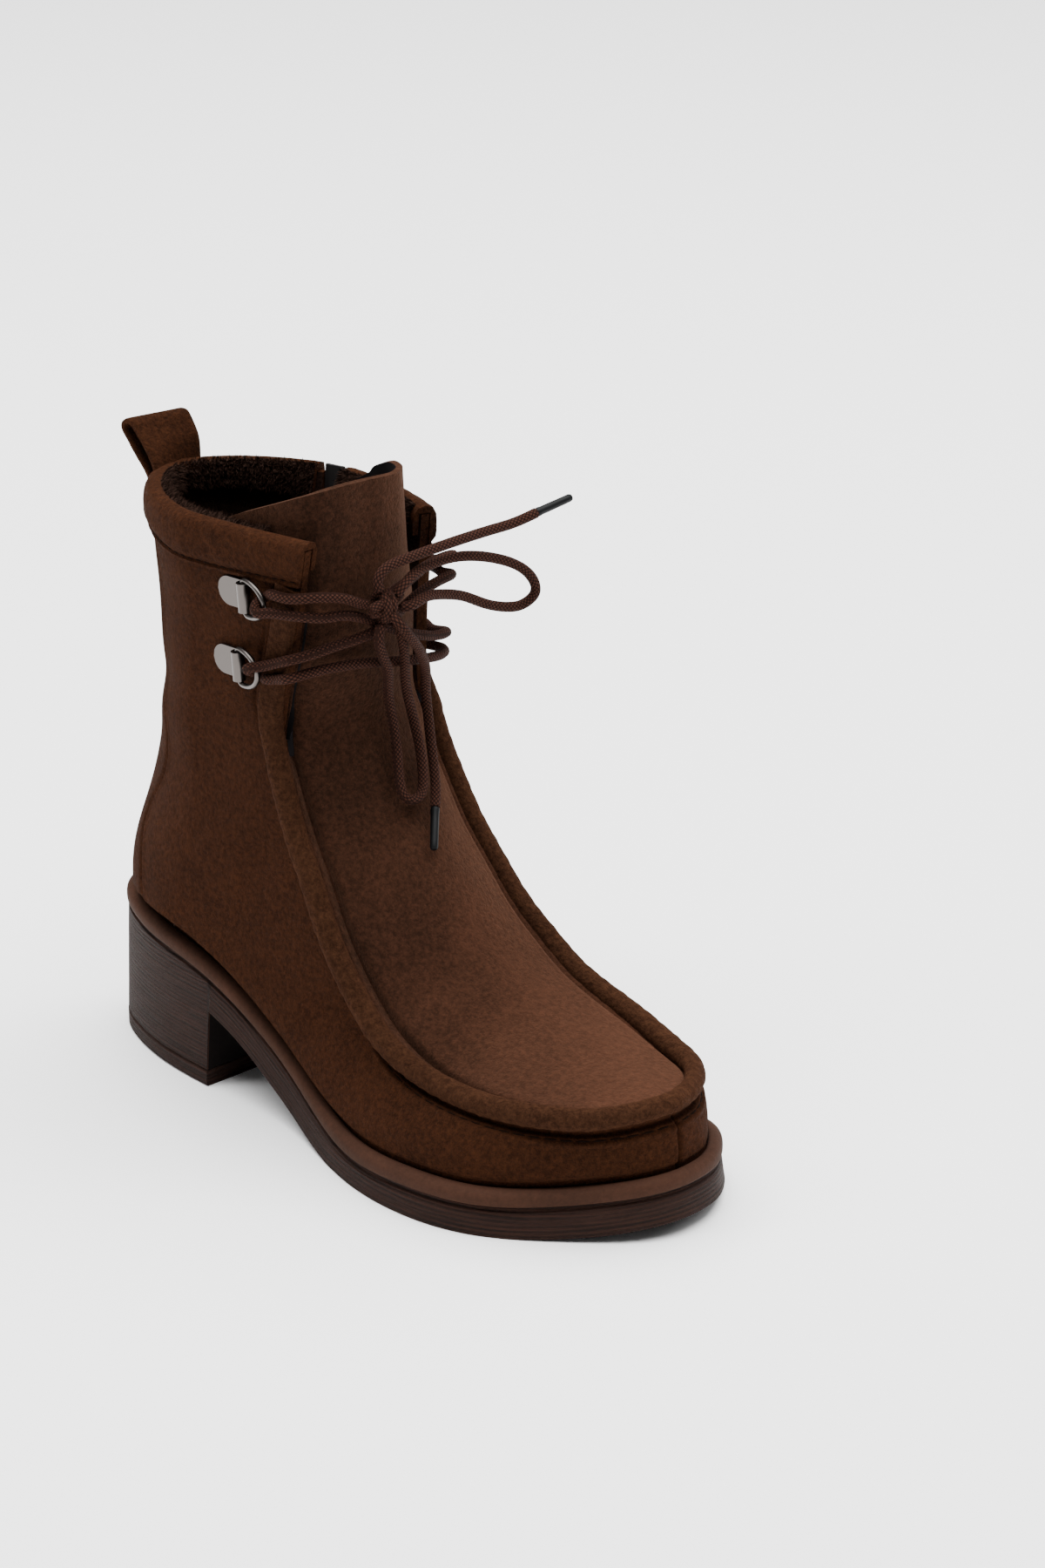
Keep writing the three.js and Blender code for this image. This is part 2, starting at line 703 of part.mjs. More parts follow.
// Straight cutter through the inner wall for the zip
const zipLine = table('up along', [
  [0.07, 0.252],
  [0.2, 0.240],
  [0.45, 0.232],
  [0.7, 0.234],
  [1, 0.238],
]);
const zipAlong = splineOf(zipLine, 'up', 'along');
const zipBottom = zipLine[0].up;
const zipX = (up) => zipAlong(up) * soleLength - heelCentre;
const zipZ = (up) => seatHeight + up * shaftHeight;

function zipCutter() {
  const half = zipSlotWidth / 2;
  const levels = spread(zipBottom, 1.15, 12);
  const near = 12;
  const far = ballWidth;
  const rings = levels.map((up) => [[-1, near], [1, near], [1, far], [-1, far]]
    .map(([edge, y]) => new THREE.Vector3(zipX(up) + edge * half, y, zipZ(up))));
  return loft(rings);
}

function upper() {
  const shell = toManifold(upperShell()).add(toManifold(apronRoll()));
  return fromManifold(shell.subtract(toManifold(zipCutter())));
}

// Strip that follows the inner wall along the zip, between two depths
function alongZip(levels, half, outerDepth, innerDepth) {
  const rings = levels.map((up) => {
    const at = (edge, depth) => onWall(zipX(up) + edge * half, zipZ(up), 1, depth).point;
    return [at(-1, outerDepth), at(1, outerDepth), at(1, innerDepth), at(-1, innerDepth)];
  });
  return loft(rings);
}

const sliderUp = 0.945;
const sliderHalfShare = sliderLength / 2 / shaftHeight;

function zipTape() {
  const bottom = zipBottom + clearance / shaftHeight;
  return alongZip(
    spread(bottom, 0.995, 12),
    zipSlotWidth / 2 - clearance,
    zipTapeDepth,
    zipTapeDepth + zipTapeThickness,
  );
}

function zipCoil() {
  const low = zipBottom + 3 / shaftHeight;
  const high = sliderUp - sliderHalfShare - clearance / shaftHeight;
  const inner = zipTapeDepth - clearance;
  const half = zipCoilWidth / 2;
  const levels = spread(low, high, 14);
  const rings = levels.map((up) => {
    const at = (edge, depth) => onWall(zipX(up) + edge * half, zipZ(up), 1, depth).point;
    const proud = inner - zipCoilHeight;
    return [at(-1, inner), at(-1, inner - zipCoilHeight / 2), at(-0.5, proud), at(0.5, proud),
      at(1, inner - zipCoilHeight / 2), at(1, inner)];
  });
  return loft(rings);
}

// Frame on the wall: out of it, forward along it and up it
function wallFrame(x, z, side) {
  const { point, normal } = onWall(x, z, side);
  const forward = onWall(x + 1, z, side).point.sub(onWall(x - 1, z, side).point).normalize();
  const up = normal.clone().cross(forward).normalize();
  if (up.z < 0) up.negate();
  return { point, forward, up, out: normal };
}

function placed(geometry, frame, offset = [0, 0, 0]) {
  const matrix = new THREE.Matrix4().makeBasis(frame.forward, frame.up, frame.out);
  const origin = frame.point.clone().addScaledVector(frame.forward, offset[0])
    .addScaledVector(frame.up, offset[1]).addScaledVector(frame.out, offset[2]);
  return facingOut(weld(trianglesOf(geometry.applyMatrix4(matrix.setPosition(origin)))));
}

function bar(width, height, depth, x = 0, y = 0, z = 0) {
  return new THREE.BoxGeometry(width, height, depth).translate(x, y, z);
}

// Zip slider: a body on the coil with a bridge for the pull
const bridgeWire = 1.4;
const bridgeRise = 2.6;
const sliderBase = zipTapeDepth - clearance;

function sliderFrame() {
  return wallFrame(zipX(sliderUp), zipZ(sliderUp), 1);
}

function zipSlider() {
  const body = bar(sliderWidth, sliderLength, sliderThickness, 0, 0, sliderThickness / 2);
  const legY = sliderLength / 2 - bridgeWire / 2 - 0.5;
  const overlap = bridgeOverlap;
  const legs = [-1, 1].map((end) => bar(bridgeWire, bridgeWire, bridgeRise + overlap, 0, end * legY,
    sliderThickness + (bridgeRise - overlap) / 2));
  const top = bar(bridgeWire, 2 * legY + bridgeWire, bridgeWire, 0, 0,
    sliderThickness + bridgeRise + bridgeWire / 2 - overlap / 2);
  return placed(joined(body, ...legs, top), sliderFrame(), [0, 0, -sliderBase]);
}

// Zip pull: an open link round the bridge and a flat tab below it
const bridgeOverlap = 0.4;
const hingeRise = sliderThickness + bridgeRise - bridgeOverlap / 2 - pullThickness / 2 - clearance;

function pullFrame() {
  const { point, out } = sliderFrame();
  const level = out.clone().setZ(0).normalize();
  return {
    point: point.addScaledVector(out, hingeRise - sliderBase),
    forward: new THREE.Vector3(level.y, -level.x, 0),
    up: new THREE.Vector3(0, 0, 1),
    out: level,
  };
}

function zipPull() {
  const link = pullLength * 0.45;
  const rail = 1.2;
  const outline2 = new THREE.Shape();
  outline2.moveTo(-pullWidth / 2, 0).lineTo(pullWidth / 2, 0);
  outline2.lineTo(pullWidth / 2, -pullLength + 1.5).lineTo(pullWidth / 2 - 1.5, -pullLength);
  outline2.lineTo(-pullWidth / 2 + 1.5, -pullLength).lineTo(-pullWidth / 2, -pullLength + 1.5);
  outline2.closePath();
  const hole = new THREE.Path();
  hole.moveTo(-pullWidth / 2 + rail, -rail).lineTo(-pullWidth / 2 + rail, -link);
  hole.lineTo(pullWidth / 2 - rail, -link).lineTo(pullWidth / 2 - rail, -rail).closePath();
  outline2.holes.push(hole);
  const blank = new THREE.ExtrudeGeometry(outline2, { depth: pullThickness, bevelEnabled: false });
  return placed(blank, pullFrame(), [0, rail / 2, -pullThickness / 2]);
}

// Collar band: folded over the wall's top edge, with a gap for the wall.
// Its section, outwards and downwards from the wall's rim
const bandGap = clearance + 0.1;
const bandOuter = bandGap + bandThickness;
const bandSlot = -(wallThickness + bandGap + 0.4);
const bandInner = bandSlot - bandLining;
const bandPlan = [
  [bandGap, bandHeight], [bandGap + bandThickness * 0.85, bandHeight - 0.6], [bandOuter, bandHeight / 2],
  [bandOuter, 0.6], [bandOuter * 0.6, -2.2], [(bandGap + bandSlot) / 2, -3.2], [bandInner * 0.8, -2],
  [bandInner, 0.6], [bandInner, bandInside], [bandSlot, bandInside], [bandSlot, -bandGap],
  [bandGap, -bandGap],
];
const bandCap = { cap: planCap(bandPlan) };

function bandSection(reach, side) {
  const rim = wallPoint(0, reach, side);
  const normal = wallNormal(0, reach, side).setZ(0).normalize();
  if (reach < 1e-6) normal.set(-1, 0, 0);
  const lower = wallPoint(0.9, reach, side);
  const drop = lower.sub(rim);
  drop.multiplyScalar(1 / -drop.z);
  return bandPlan.map(([out, down]) => rim.clone().addScaledVector(normal, out).addScaledVector(drop, down));
}

const zipReach = (zipX(1) - farPoint(0, 1).x) / (seamPoint(0, 1).x - farPoint(0, 1).x);
const zipHalfReach = (sliderWidth / 2 + 1.6) / (seamPoint(0, 1).x - farPoint(0, 1).x);

function collarBandOuter() {
  const outer = spread(1, 0, 22).map((part) => bandSection(eased(part), -1));
  const inner = spread(0, 1, 9).slice(1)
    .map((part) => bandSection((zipReach - zipHalfReach) * (1 - Math.cos((part * Math.PI) / 2)), 1));
  return loft([...outer, ...inner], bandCap);
}

function collarBandInner() {
  return loft(spread(zipReach + zipHalfReach, 1, 7).map((reach) => bandSection(reach, 1)), bandCap);
}

// Tongue: carries the apron on up between the front edges and tucks in behind them
function tonguePoint(part, station) {
  const { side, reach, across, top } = station;
  const bottom = throatRib - (clearance + 0.1) / 20;
  const rib = bottom + (top - bottom) * part;
  const tuck = THREE.MathUtils.lerp(wallThickness + clearance + 0.3,
    wallThickness + bandLining + 3 * clearance + 0.4, THREE.MathUtils.smoothstep(-rib, -1.8, -0.6));
  const edge = (s, r) => wallPoint(Math.max(rib, 0), r, s)
    .addScaledVector(wallNormal(Math.max(rib, 0.02), r, s), -tuck);
  let point = null;
  if (side !== 0) {
    point = edge(side, reach);
  } else {
    const from = edge(-1, 1);
    const to = edge(1, 1);
    const level = Math.max(rib, 0);
    const apronMiddle = apronPoint(level, 0);
    const middle = from.clone().add(to).multiplyScalar(0.5);
    const crown = apronMiddle.sub(middle);
    point = from.lerp(to, (1 + across) / 2).addScaledVector(crown, 1 - across ** 2);
  }
  if (rib < 0) {
    const rise = wallPoint(0, 1, -1).sub(wallPoint(1, 1, -1));
    point.addScaledVector(rise, -rib);
  }
  return point;
}

function tongue() {
  const topRib = -tongueRise / 21;
  const wing = (side, reach, top) => ({ side, reach, top });
  const front = (across, top) => ({ side: 0, across, top });
  const stations = [
    wing(-1, 0.56, 0.12), wing(-1, 0.66, -0.03), wing(-1, 0.76, -0.2), wing(-1, 0.86, -0.38),
    wing(-1, 0.94, -0.5),
    ...spread(-1, 1, 10).map((across) => front(across, across < 0
      ? THREE.MathUtils.lerp(topRib, -0.58, -across) : THREE.MathUtils.lerp(topRib, -0.62, across))),
    wing(1, 0.93, -0.6),
  ];
  const rows = spread(1, 0, 12).map((part) => stations.map((station) => tonguePoint(part, station)));
  return thicken(weld(gridTriangles(rows)), tongueThickness);
}

// Pull loop: a folded strap standing on the collar's back and leaning away from it
function pullLoop() {
  const top = seatHeight + shaftHeight;
  const rimX = farPoint(0, 1).x;
  const gap = clearance + 0.1;
  const outside = rimX - gap - bandThickness - 2 * clearance;
  const inside = rimX + wallThickness + gap + bandLining + 2 * clearance;
  const t = loopThickness;
  const lean = loopLean;
  // Each row: place along and up on the strap's near face, then on its far face, and how far the
  // strap bends round the heel there at its outer and its inner leg
  const faces = table('nearX nearZ farX farZ outerBend innerBend', [
    [outside, top - 9, outside - t, top - 9, 1, 0],
    [outside - 0.4, top + 2, outside - 0.4 - t, top + 2, 1, 0],
    [outside - lean * 0.28, top + 5.4, outside - lean * 0.28 - t, top + 5.2, 0.35, 0],
    [outside - lean * 0.5, top + 9.4, outside - lean * 0.5 - t, top + 9.2, 0.1, 0],
    [outside - lean * 0.62, top + loopRise, outside - lean * 0.62 - t, top + loopRise, 0, 0],
    [outside - lean * 0.42, top + loopRise + 1.6, outside - lean * 0.5, top + loopRise + 1.6 + t, 0, 0],
    [inside - lean * 0.8, top + 12.4, inside - lean * 0.62, top + 14.6, 0, 0.1],
    [inside - lean * 0.4, top + 8, inside - lean * 0.18, top + 9.4, 0, 0.4],
    [inside, top + 4, inside + t, top + 4.8, 0, 1],
    [inside, top - 6, inside + t, top - 6, 0, 1],
  ]);
  const rings = spread(-loopWidth / 2, loopWidth / 2, 8).map((y) => {
    const outerShift = 5 * (Math.abs(y) / 12.5) ** 1.7;
    const innerShift = 8.4 * (Math.abs(y) / 12.5) ** 1.7;
    const shiftOf = (face) => outerShift * face.outerBend + innerShift * face.innerBend;
    const near = faces.map((face) => new THREE.Vector3(face.nearX + shiftOf(face), y, face.nearZ));
    const far = faces.map((face) => new THREE.Vector3(face.farX + shiftOf(face), y, face.farZ));
    return [...near, ...far.reverse()];
  });
  return loft(rings, { cap: ribbonCap });
}

// Cap over a ribbon's section, whose points lie in pairs across its thickness
function ribbonCap(ring, turned) {
  const triangles = [];
  const n = ring.length;
  for (let i = 0; i + 1 < n / 2; i += 1) {
    triangles.push([ring[i], ring[i + 1], ring[n - 2 - i]], [ring[i], ring[n - 2 - i], ring[n - 1 - i]]);
  }
  return turned ? triangles.map(([a, b, c]) => [a, c, b]) : triangles;
}

// Lacing rings: a riveted tab folded round the straight bar of a D-shaped wire ring
const hardware = table('name side x z', [
  ['outer_upper', -1, 62.5, 182.5],
  ['outer_lower', -1, 56.6, 157.5],
  ['inner_upper', 1, 55.5, 178.5],
  ['inner_lower', 1, 52.5, 153.5],
]);
const foldBore = ringWire / 2 + clearance;
const foldOuter = foldBore + tabThickness;
const foldRise = foldOuter + clearance + 0.1;

function ringTab() {
  const plate = new THREE.Shape();
  const half = tabHeight / 2;
  plate.moveTo(0, -half).lineTo(0, half).lineTo(-tabLength + half, half * 0.98);
  plate.absarc(-tabLength + half, 0, half * 0.98, Math.PI / 2, (3 * Math.PI) / 2, false);
  plate.closePath();
  const flat = new THREE.ExtrudeGeometry(plate, { depth: tabThickness, bevelEnabled: false, curveSegments: 4 })
    .translate(-foldBore, 0, clearance + 0.1);
  const eye = new THREE.Shape().absarc(0, 0, foldOuter, 0, 2 * Math.PI, false);
  eye.holes.push(new THREE.Path().absarc(0, 0, foldBore, 0, 2 * Math.PI, true));
  const fold = new THREE.ExtrudeGeometry(eye, { depth: tabHeight * 0.96, bevelEnabled: false, curveSegments: 5 })
    .rotateX(Math.PI / 2).translate(0, (tabHeight * 0.96) / 2, foldRise);
  return joined(flat, fold);
}

// The ring as a closed tube: straight bar, then a wide arc, tilted out from the wall
function dRing() {
  const half = ringHeight / 2;
  const bend = ringBend;
  const corner = (cx, cy, from, to) => spread(from, to, 3)
    .map((turn) => [cx + bend * Math.cos(turn), cy + bend * Math.sin(turn)]);
  const arc = spread(-Math.PI / 2, Math.PI / 2, 8).slice(1, -1)
    .map((turn) => [bend + (ringReach - bend) * Math.cos(turn), half * Math.sin(turn)]);
  const path = [
    ...corner(bend, half - bend, Math.PI, Math.PI / 2).map(([x, y]) => [x - 0, y]),
    ...arc.reverse(),
    ...corner(bend, -half + bend, -Math.PI / 2, -Math.PI),
    [0, -half * 0.3], [0, half * 0.3],
  ];
  const tilt = THREE.MathUtils.degToRad(ringTilt);
  const centres = path.map(([x, y]) => new THREE.Vector3(x * Math.cos(tilt), y, x * Math.sin(tilt)));
  const face = new THREE.Vector3(-Math.sin(tilt), 0, Math.cos(tilt));
  const rings = centres.map((centre, i) => {
    const n = centres.length;
    const way = centres[(i + 1) % n].clone().sub(centres[(i - 1 + n) % n]).normalize();
    const across = way.clone().cross(face).normalize();
    return spread(0, 2 * Math.PI, 6).slice(0, 6).map((turn) => centre.clone()
      .addScaledVector(across, (Math.cos(turn) * ringWire) / 2)
      .addScaledVector(face, (Math.sin(turn) * ringWire) / 2));
  });
  return loft(rings, { looped: true });
}

// Cords: a round tube with a ring of corners at each point chosen by hand
class HandCurve extends THREE.CatmullRomCurve3 {
  getUtoTmapping(share) {
    return share;
  }
}

function cord(points, diameter = laceDiameter) {
  const path = new HandCurve(points.map((p) => new THREE.Vector3(...p)), false, 'centripetal');
  const section = new THREE.Shape(spread(0, 2 * Math.PI, 8).slice(0, 8)
    .map((turn) => new THREE.Vector2(Math.cos(turn), Math.sin(turn)).multiplyScalar(diameter / 2)));
  return new THREE.ExtrudeGeometry(section, {
    steps: points.length - 1,
    bevelEnabled: false,
    extrudePath: path,
  });
}

// The lace's turn round a ring's arc, from over the wire to under it
function ringTurn(place, over, under) {
  const frame = wallFrame(place.x, place.z, place.side);
  const tilt = THREE.MathUtils.degToRad(ringTilt);
  const radius = (ringWire + laceDiameter) / 2 + 2 * clearance + 0.1;
  return spread(90, 270, 4).map((degrees, i) => {
    const turn = THREE.MathUtils.degToRad(degrees);
    const rise = THREE.MathUtils.lerp(over, under, i / 4);
    const reach = ringBend + (ringReach - ringBend) * Math.sqrt(1 - (rise / (ringHeight / 2)) ** 2);
    return frame.point.clone()
      .addScaledVector(frame.forward, reach * Math.cos(tilt) + radius * Math.cos(turn))
      .addScaledVector(frame.up, rise)
      .addScaledVector(frame.out, foldRise + reach * Math.sin(tilt) + radius * Math.sin(turn)).toArray();
  });
}

// Knot: a plain ellipsoid, which every strand, loop and end leaves square to its face
const knotCentre = [99.8, -10.4, 180.4];
const knotSize = [7, 12, 12];

function laceKnot() {
  return new THREE.SphereGeometry(0.5, 12, 8).rotateX(Math.PI / 2).scale(...knotSize)
    .translate(...knotCentre);
}

function knotExit(direction) {
  const way = new THREE.Vector3(...direction).normalize();
  const scaled = way.clone().divide(new THREE.Vector3(...knotSize)).multiplyScalar(2);
  const face = new THREE.Vector3(...knotCentre).addScaledVector(way, 1 / scaled.length());
  return [2 * clearance, laceDiameter].map((away) => face.clone().addScaledVector(way, away).toArray());
}

// Points over the wall, given as x, z and the lace's lift off the wall
function overWall(side, places) {
  return places.map(([x, z, lift]) => onWall(x, z, side, -lift).point.toArray());
}

const [outerUpper, outerLower, innerUpper, innerLower] = hardware;

function laceCrossings() {
  const first = [
    ...knotExit([-0.4, -1, 0.3]), [96.8, -23.5, 185.4], [95.8, -29, 187], [93, -35.6, 187.8],
    ...overWall(-1, [[86, 187.2, 4.2], [79, 187, 3.8]]),
    ...ringTurn(outerUpper, -1.5, 2.5).reverse(),
    ...overWall(-1, [[78, 181.4, 6.6], [85, 181.6, 4.6]]),
    [91.4, -37, 181.4], [94.2, -31, 180.4], [95.4, -24.5, 179.9], [95.6, -15, 176.6], [95, -6, 172],
    [93.5, 4, 167], [91.5, 14, 163], [88.6, 23, 160], [84.4, 31.6, 158],
    ...overWall(1, [[76, 155.6, 4.2], [69.4, 154.6, 5.6]]),
    ...ringTurn(innerLower, 1.5, -2.5),
    ...overWall(1, [[70, 149.4, 3.8], [76, 150, 4]]),
    [83, 32, 151], [87.6, 24, 152.4], [90.2, 15, 154.4], [92, 5, 156.6], [92.6, -4, 158.6],
  ];
  const second = [
    ...knotExit([-0.5, 1, 0.35]), [96.4, 2.6, 184.8], [95.4, 9, 186.6], [93.2, 17, 187.4], [90.2, 26, 186.6],
    [86.4, 33, 184.6],
    ...overWall(1, [[79, 181.6, 4.2], [72.5, 179.6, 3.8]]),
    ...ringTurn(innerUpper, -2.5, 1.5).reverse(),
    ...overWall(1, [[73, 176, 5.8], [79, 176.8, 4.2]]),
    [85.6, 33, 178], [89.6, 25, 179], [92.4, 15, 178.8], [94.4, 6, 177.6], [95.2, -3, 175.4],
    [95, -12, 172.4], [93.8, -19.8, 170.2], [92, -25.7, 168.9], [89.8, -32, 167.6], [85.6, -37.6, 166],
    ...overWall(-1, [[78, 163.4, 4.4], [73, 161.6, 5.6]]),
    ...ringTurn(outerLower, 3, -1.5),
    ...overWall(-1, [[73, 156.6, 3.8], [78.6, 158, 4]]),
    [84.4, -38, 159.4], [87.6, -33, 160.6], [89.8, -27, 161.2], [91.4, -20, 161], [92.4, -12, 160.2],
    [92.6, -3.6, 158.5],
  ];
  return joined(cord(first), cord(second));
}

// Bow: two loops and two ends
const hangingLoop = [
  ...knotExit([0.3, 0.55, -1]), [100.8, -3.4, 167], [97.8, 0, 160], [93, 4.9, 149.4],
  [89.8, 10.8, 135.5], [93.4, 10.6, 124.6], [98.6, 6.6, 115.1], [100.6, 3, 112.6], [100.6, -0.6, 112.4],
  [99, -2.8, 114.6], [93.8, 0, 124.6], [90.4, 1.6, 135], [91.6, -1.6, 147], [97.2, -7, 158],
  [100, -12.4, 166], ...knotExit([0.2, -0.5, -1]).reverse(),
];
const sideLoop = [
  ...knotExit([0.5, 0.8, 1]), [101.8, 1, 189.2], [99.8, 11, 189.8], [99.8, 22, 189.6],
  [101, 37, 186], [102.6, 48, 180.6], [103.4, 53, 175.2], [103, 54, 170.4], [101, 51, 167.1],
  [100, 46, 166.9], [99, 36, 170], [98.8, 26, 175], [100, 15, 178.6], [102.6, 4.4, 180.6],
  ...knotExit([0.6, 1, -0.05]).reverse(),
];
const hangingEnd = [
  ...knotExit([1, 0, -0.55]), [106, -6.4, 172], [102.8, 1, 165], [98.6, 7.4, 158.4],
  [94.4, 12.4, 152.2], [90, 16.6, 143], [88.8, 18.7, 133.1], [92.6, 16.6, 122.7], [98.6, 12.3, 113.5],
  [102.6, 8.1, 108],
];
const sideEnd = [
  ...knotExit([0, -0.3, 1]), [100, -11, 192.6], [100.6, -6.4, 194.2], [101.6, 2, 195.2],
  [102.6, 16, 196.2], [103, 34, 196.6], [103.8, 44, 197], [104.6, 53, 198.4],
];

// Aglet: a straight sleeve that carries on from a cord's end
function aglet(points) {
  const end = new THREE.Vector3(...points[points.length - 1]);
  const way = end.clone().sub(new THREE.Vector3(...points[points.length - 2])).normalize();
  const from = end.clone().addScaledVector(way, clearance);
  const to = end.clone().addScaledVector(way, clearance + agletLength);
  const middle = from.clone().lerp(to, 0.5);
  return cord([from.toArray(), middle.toArray(), to.toArray()], agletDiameter);
}

const suede = { color: 0x4a2c1c, roughness: 0.95, metalness: 0 };
const lining = { color: 0x1e1512, roughness: 1, metalness: 0 };
const soleRubber = { color: 0x33231f, roughness: 0.7, metalness: 0 };
const weltRubber = { color: 0x4a3730, roughness: 0.7, metalness: 0 };
const nickel = { color: 0xb9b4ae, roughness: 0.25, metalness: 1 };
const gunmetal = { color: 0x55524f, roughness: 0.3, metalness: 1 };
const zipBlack = { color: 0x14100e, roughness: 0.6, metalness: 0 };
const laceCord = { color: 0x4b2f28, roughness: 0.85, metalness: 0 };
const agletBlack = { color: 0x1b1d21, roughness: 0.35, metalness: 0 };

const group = new THREE.Group();

function add(name, geometry, finish) {
  const mesh = new THREE.Mesh(geometry, new THREE.MeshStandardMaterial(finish));
  mesh.name = name;
  group.add(mesh);
}

add('outsole', outsole(), soleRubber);
add('heel_top_lift', topLift(), soleRubber);
add('welt', welt(), weltRubber);
add('insole', insole(), lining);
add('upper', upper(), suede);
add('tongue', tongue(), suede);
add('collar_band', collarBandOuter(), suede);
add('collar_band_inner', collarBandInner(), suede);
add('pull_loop', pullLoop(), suede);
add('zip_tape', zipTape(), zipBlack);
add('zip_coil', zipCoil(), zipBlack);
add('zip_slider', zipSlider(), gunmetal);
add('zip_pull', zipPull(), gunmetal);
for (const place of hardware) {
  const frame = wallFrame(place.x, place.z, place.side);
  add(`ring_tab_${place.name}`, placed(ringTab(), frame), nickel);
  add(`d_ring_${place.name}`, placed(dRing(), frame, [0, 0, foldRise]), nickel);
}
add('lace_crossings', laceCrossings(), laceCord);
add('lace_knot', laceKnot(), laceCord);
add('lace_loop_down', cord(hangingLoop), laceCord);
add('lace_loop_side', cord(sideLoop), laceCord);
add('lace_end_down', cord(hangingEnd), laceCord);
add('lace_end_side', cord(sideEnd), laceCord);
add('aglet_down', aglet(hangingEnd), agletBlack);
add('aglet_side', aglet(sideEnd), agletBlack);

export default group;
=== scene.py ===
"""Looks of a lace up ankle boot for the right foot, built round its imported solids.

Lengths in the classes are millimetres in the part's own frame: the origin is the centre of the heel's
floor face, +X runs to the toe, +Y to the inner side of the foot and +Z up. Meshes are written in metres.
"""

import logging
import math
from dataclasses import dataclass
from enum import Enum
from typing import Callable, Sequence

import bmesh
import bpy
import numpy as np
from mathutils import Matrix

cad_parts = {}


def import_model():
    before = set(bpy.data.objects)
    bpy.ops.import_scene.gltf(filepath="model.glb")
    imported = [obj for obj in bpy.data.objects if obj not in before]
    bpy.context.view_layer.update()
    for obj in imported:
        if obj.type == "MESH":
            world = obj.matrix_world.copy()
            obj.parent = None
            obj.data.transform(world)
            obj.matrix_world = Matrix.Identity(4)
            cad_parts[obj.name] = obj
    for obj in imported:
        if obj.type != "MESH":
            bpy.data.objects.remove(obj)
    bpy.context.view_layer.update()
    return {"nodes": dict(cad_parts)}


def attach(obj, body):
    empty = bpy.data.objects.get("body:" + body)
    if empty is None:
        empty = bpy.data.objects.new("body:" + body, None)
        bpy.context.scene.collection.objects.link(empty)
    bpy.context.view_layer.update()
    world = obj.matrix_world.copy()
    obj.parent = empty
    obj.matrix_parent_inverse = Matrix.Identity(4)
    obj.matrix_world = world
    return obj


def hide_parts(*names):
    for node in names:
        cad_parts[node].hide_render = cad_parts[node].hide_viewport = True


LOG = logging.getLogger("boot")
METRE = 0.001
BODY = "boot"
MERGE_DISTANCE = 2e-6
Array = np.ndarray
Pair = tuple[float, float]
Triple = tuple[float, float, float]
Material = bpy.types.Material
Node = bpy.types.Node
Socket = bpy.types.NodeSocket
Tree = bpy.types.NodeTree


class Side(Enum):
    """The two sides of the foot, with the sign of their Y."""

    OUTER = -1
    INNER = 1


@dataclass(frozen=True)
class BootSizes:
    """Driving sizes of the boot, in millimetres."""

    sole_length: float = 258.0
    ball_width: float = 98.0
    seat_height: float = 47.5
    heel_length: float = 68.0
    breast_height: float = 28.3
    breast_slant: float = 2.0
    top_lift: float = 5.7
    toe_spring: float = 5.7
    sole_flare: float = 1.3
    edge_step: float = 0.8
    welt_height: float = 5.5
    welt_width: float = 4.1
    welt_proud: float = 0.5
    shaft_height: float = 155.5
    wall: float = 2.8
    tongue: float = 2.2
    rim_drop: float = 2.8
    roll_width: float = 7.8
    roll_proud: float = 5.5
    strip_width: float = 9.5
    strip_proud: float = 2.3
    band_height: float = 13.4
    band_thickness: float = 2.3
    band_lining: float = 2.0
    band_inside: float = 8.0
    loop_width: float = 22.0
    loop_rise: float = 13.0
    loop_thickness: float = 2.2
    loop_lean: float = 6.5
    loop_turn: float = 0.16
    zip_slot: float = 8.0
    zip_depth: float = 0.8
    slider_width: float = 8.0
    tab_length: float = 12.8
    tab_height: float = 10.0
    tab_thickness: float = 0.9
    ring_wire: float = 1.8
    ring_height: float = 12.4
    ring_reach: float = 11.2
    ring_tilt: float = 10.0
    ring_bend: float = 2.0
    lace: float = 3.4
    aglet: float = 3.0
    aglet_length: float = 15.0
    gap: float = 0.3
    seat_gap: float = 0.6

    @property
    def feather(self) -> float:
        """How far the upper's foot lies inside the sole's edge."""
        return self.welt_width + 2 * self.gap

    @property
    def rim_rib(self) -> float:
        """Rib number of the walls' top edge, under the fold of the collar band."""
        return self.rim_drop / ((BACK_LINE[-1][0] - BACK_LINE[-2][0]) * self.shaft_height)

    @property
    def heel_centre(self) -> float:
        """Distance from the sole's rearmost point to the frame's origin."""
        return self.heel_length / 2


SOLE_OUTLINE = (
    # along, outer, inner: half widths as shares of the ball width
    (0, 0, 0), (0.03, 0.160, 0.163), (0.08, 0.235, 0.265), (0.16, 0.301, 0.327), (0.30, 0.341, 0.311),
    (0.45, 0.385, 0.296), (0.60, 0.515, 0.367), (0.72, 0.554, 0.439), (0.82, 0.497, 0.449),
    (0.90, 0.357, 0.405), (0.96, 0.219, 0.267), (0.99, 0.111, 0.143), (1, 0, 0),
)
SOLE_TOP = (
    # along, height: the sole's top edge as shares of the seat height
    (0, 0.994), (0.12, 0.928), (0.25, 0.846), (0.38, 0.568), (0.50, 0.278), (0.62, 0.181),
    (0.72, 0.198), (0.86, 0.211), (1, 0.333),
)
WAIST_UNDERSIDE = (
    # along, height: the waist's underside as shares of the breast height
    (0.265, 1), (0.32, 0.82), (0.38, 0.53), (0.44, 0.26), (0.50, 0.07), (0.55, 0),
)
SPRING_START = 0.84
# Millimetres of the sole's edge per radian of its angle, as a share of the sole's length
EDGE_PACE = 0.39
BACK_LINE = (
    # up, along: the centre line of the back
    (0, 0.018), (0.042, 0.0145), (0.119, 0.015), (0.26, 0.041), (0.421, 0.070), (0.576, 0.082),
    (0.723, 0.082), (0.859, 0.080), (1, 0.080),
)
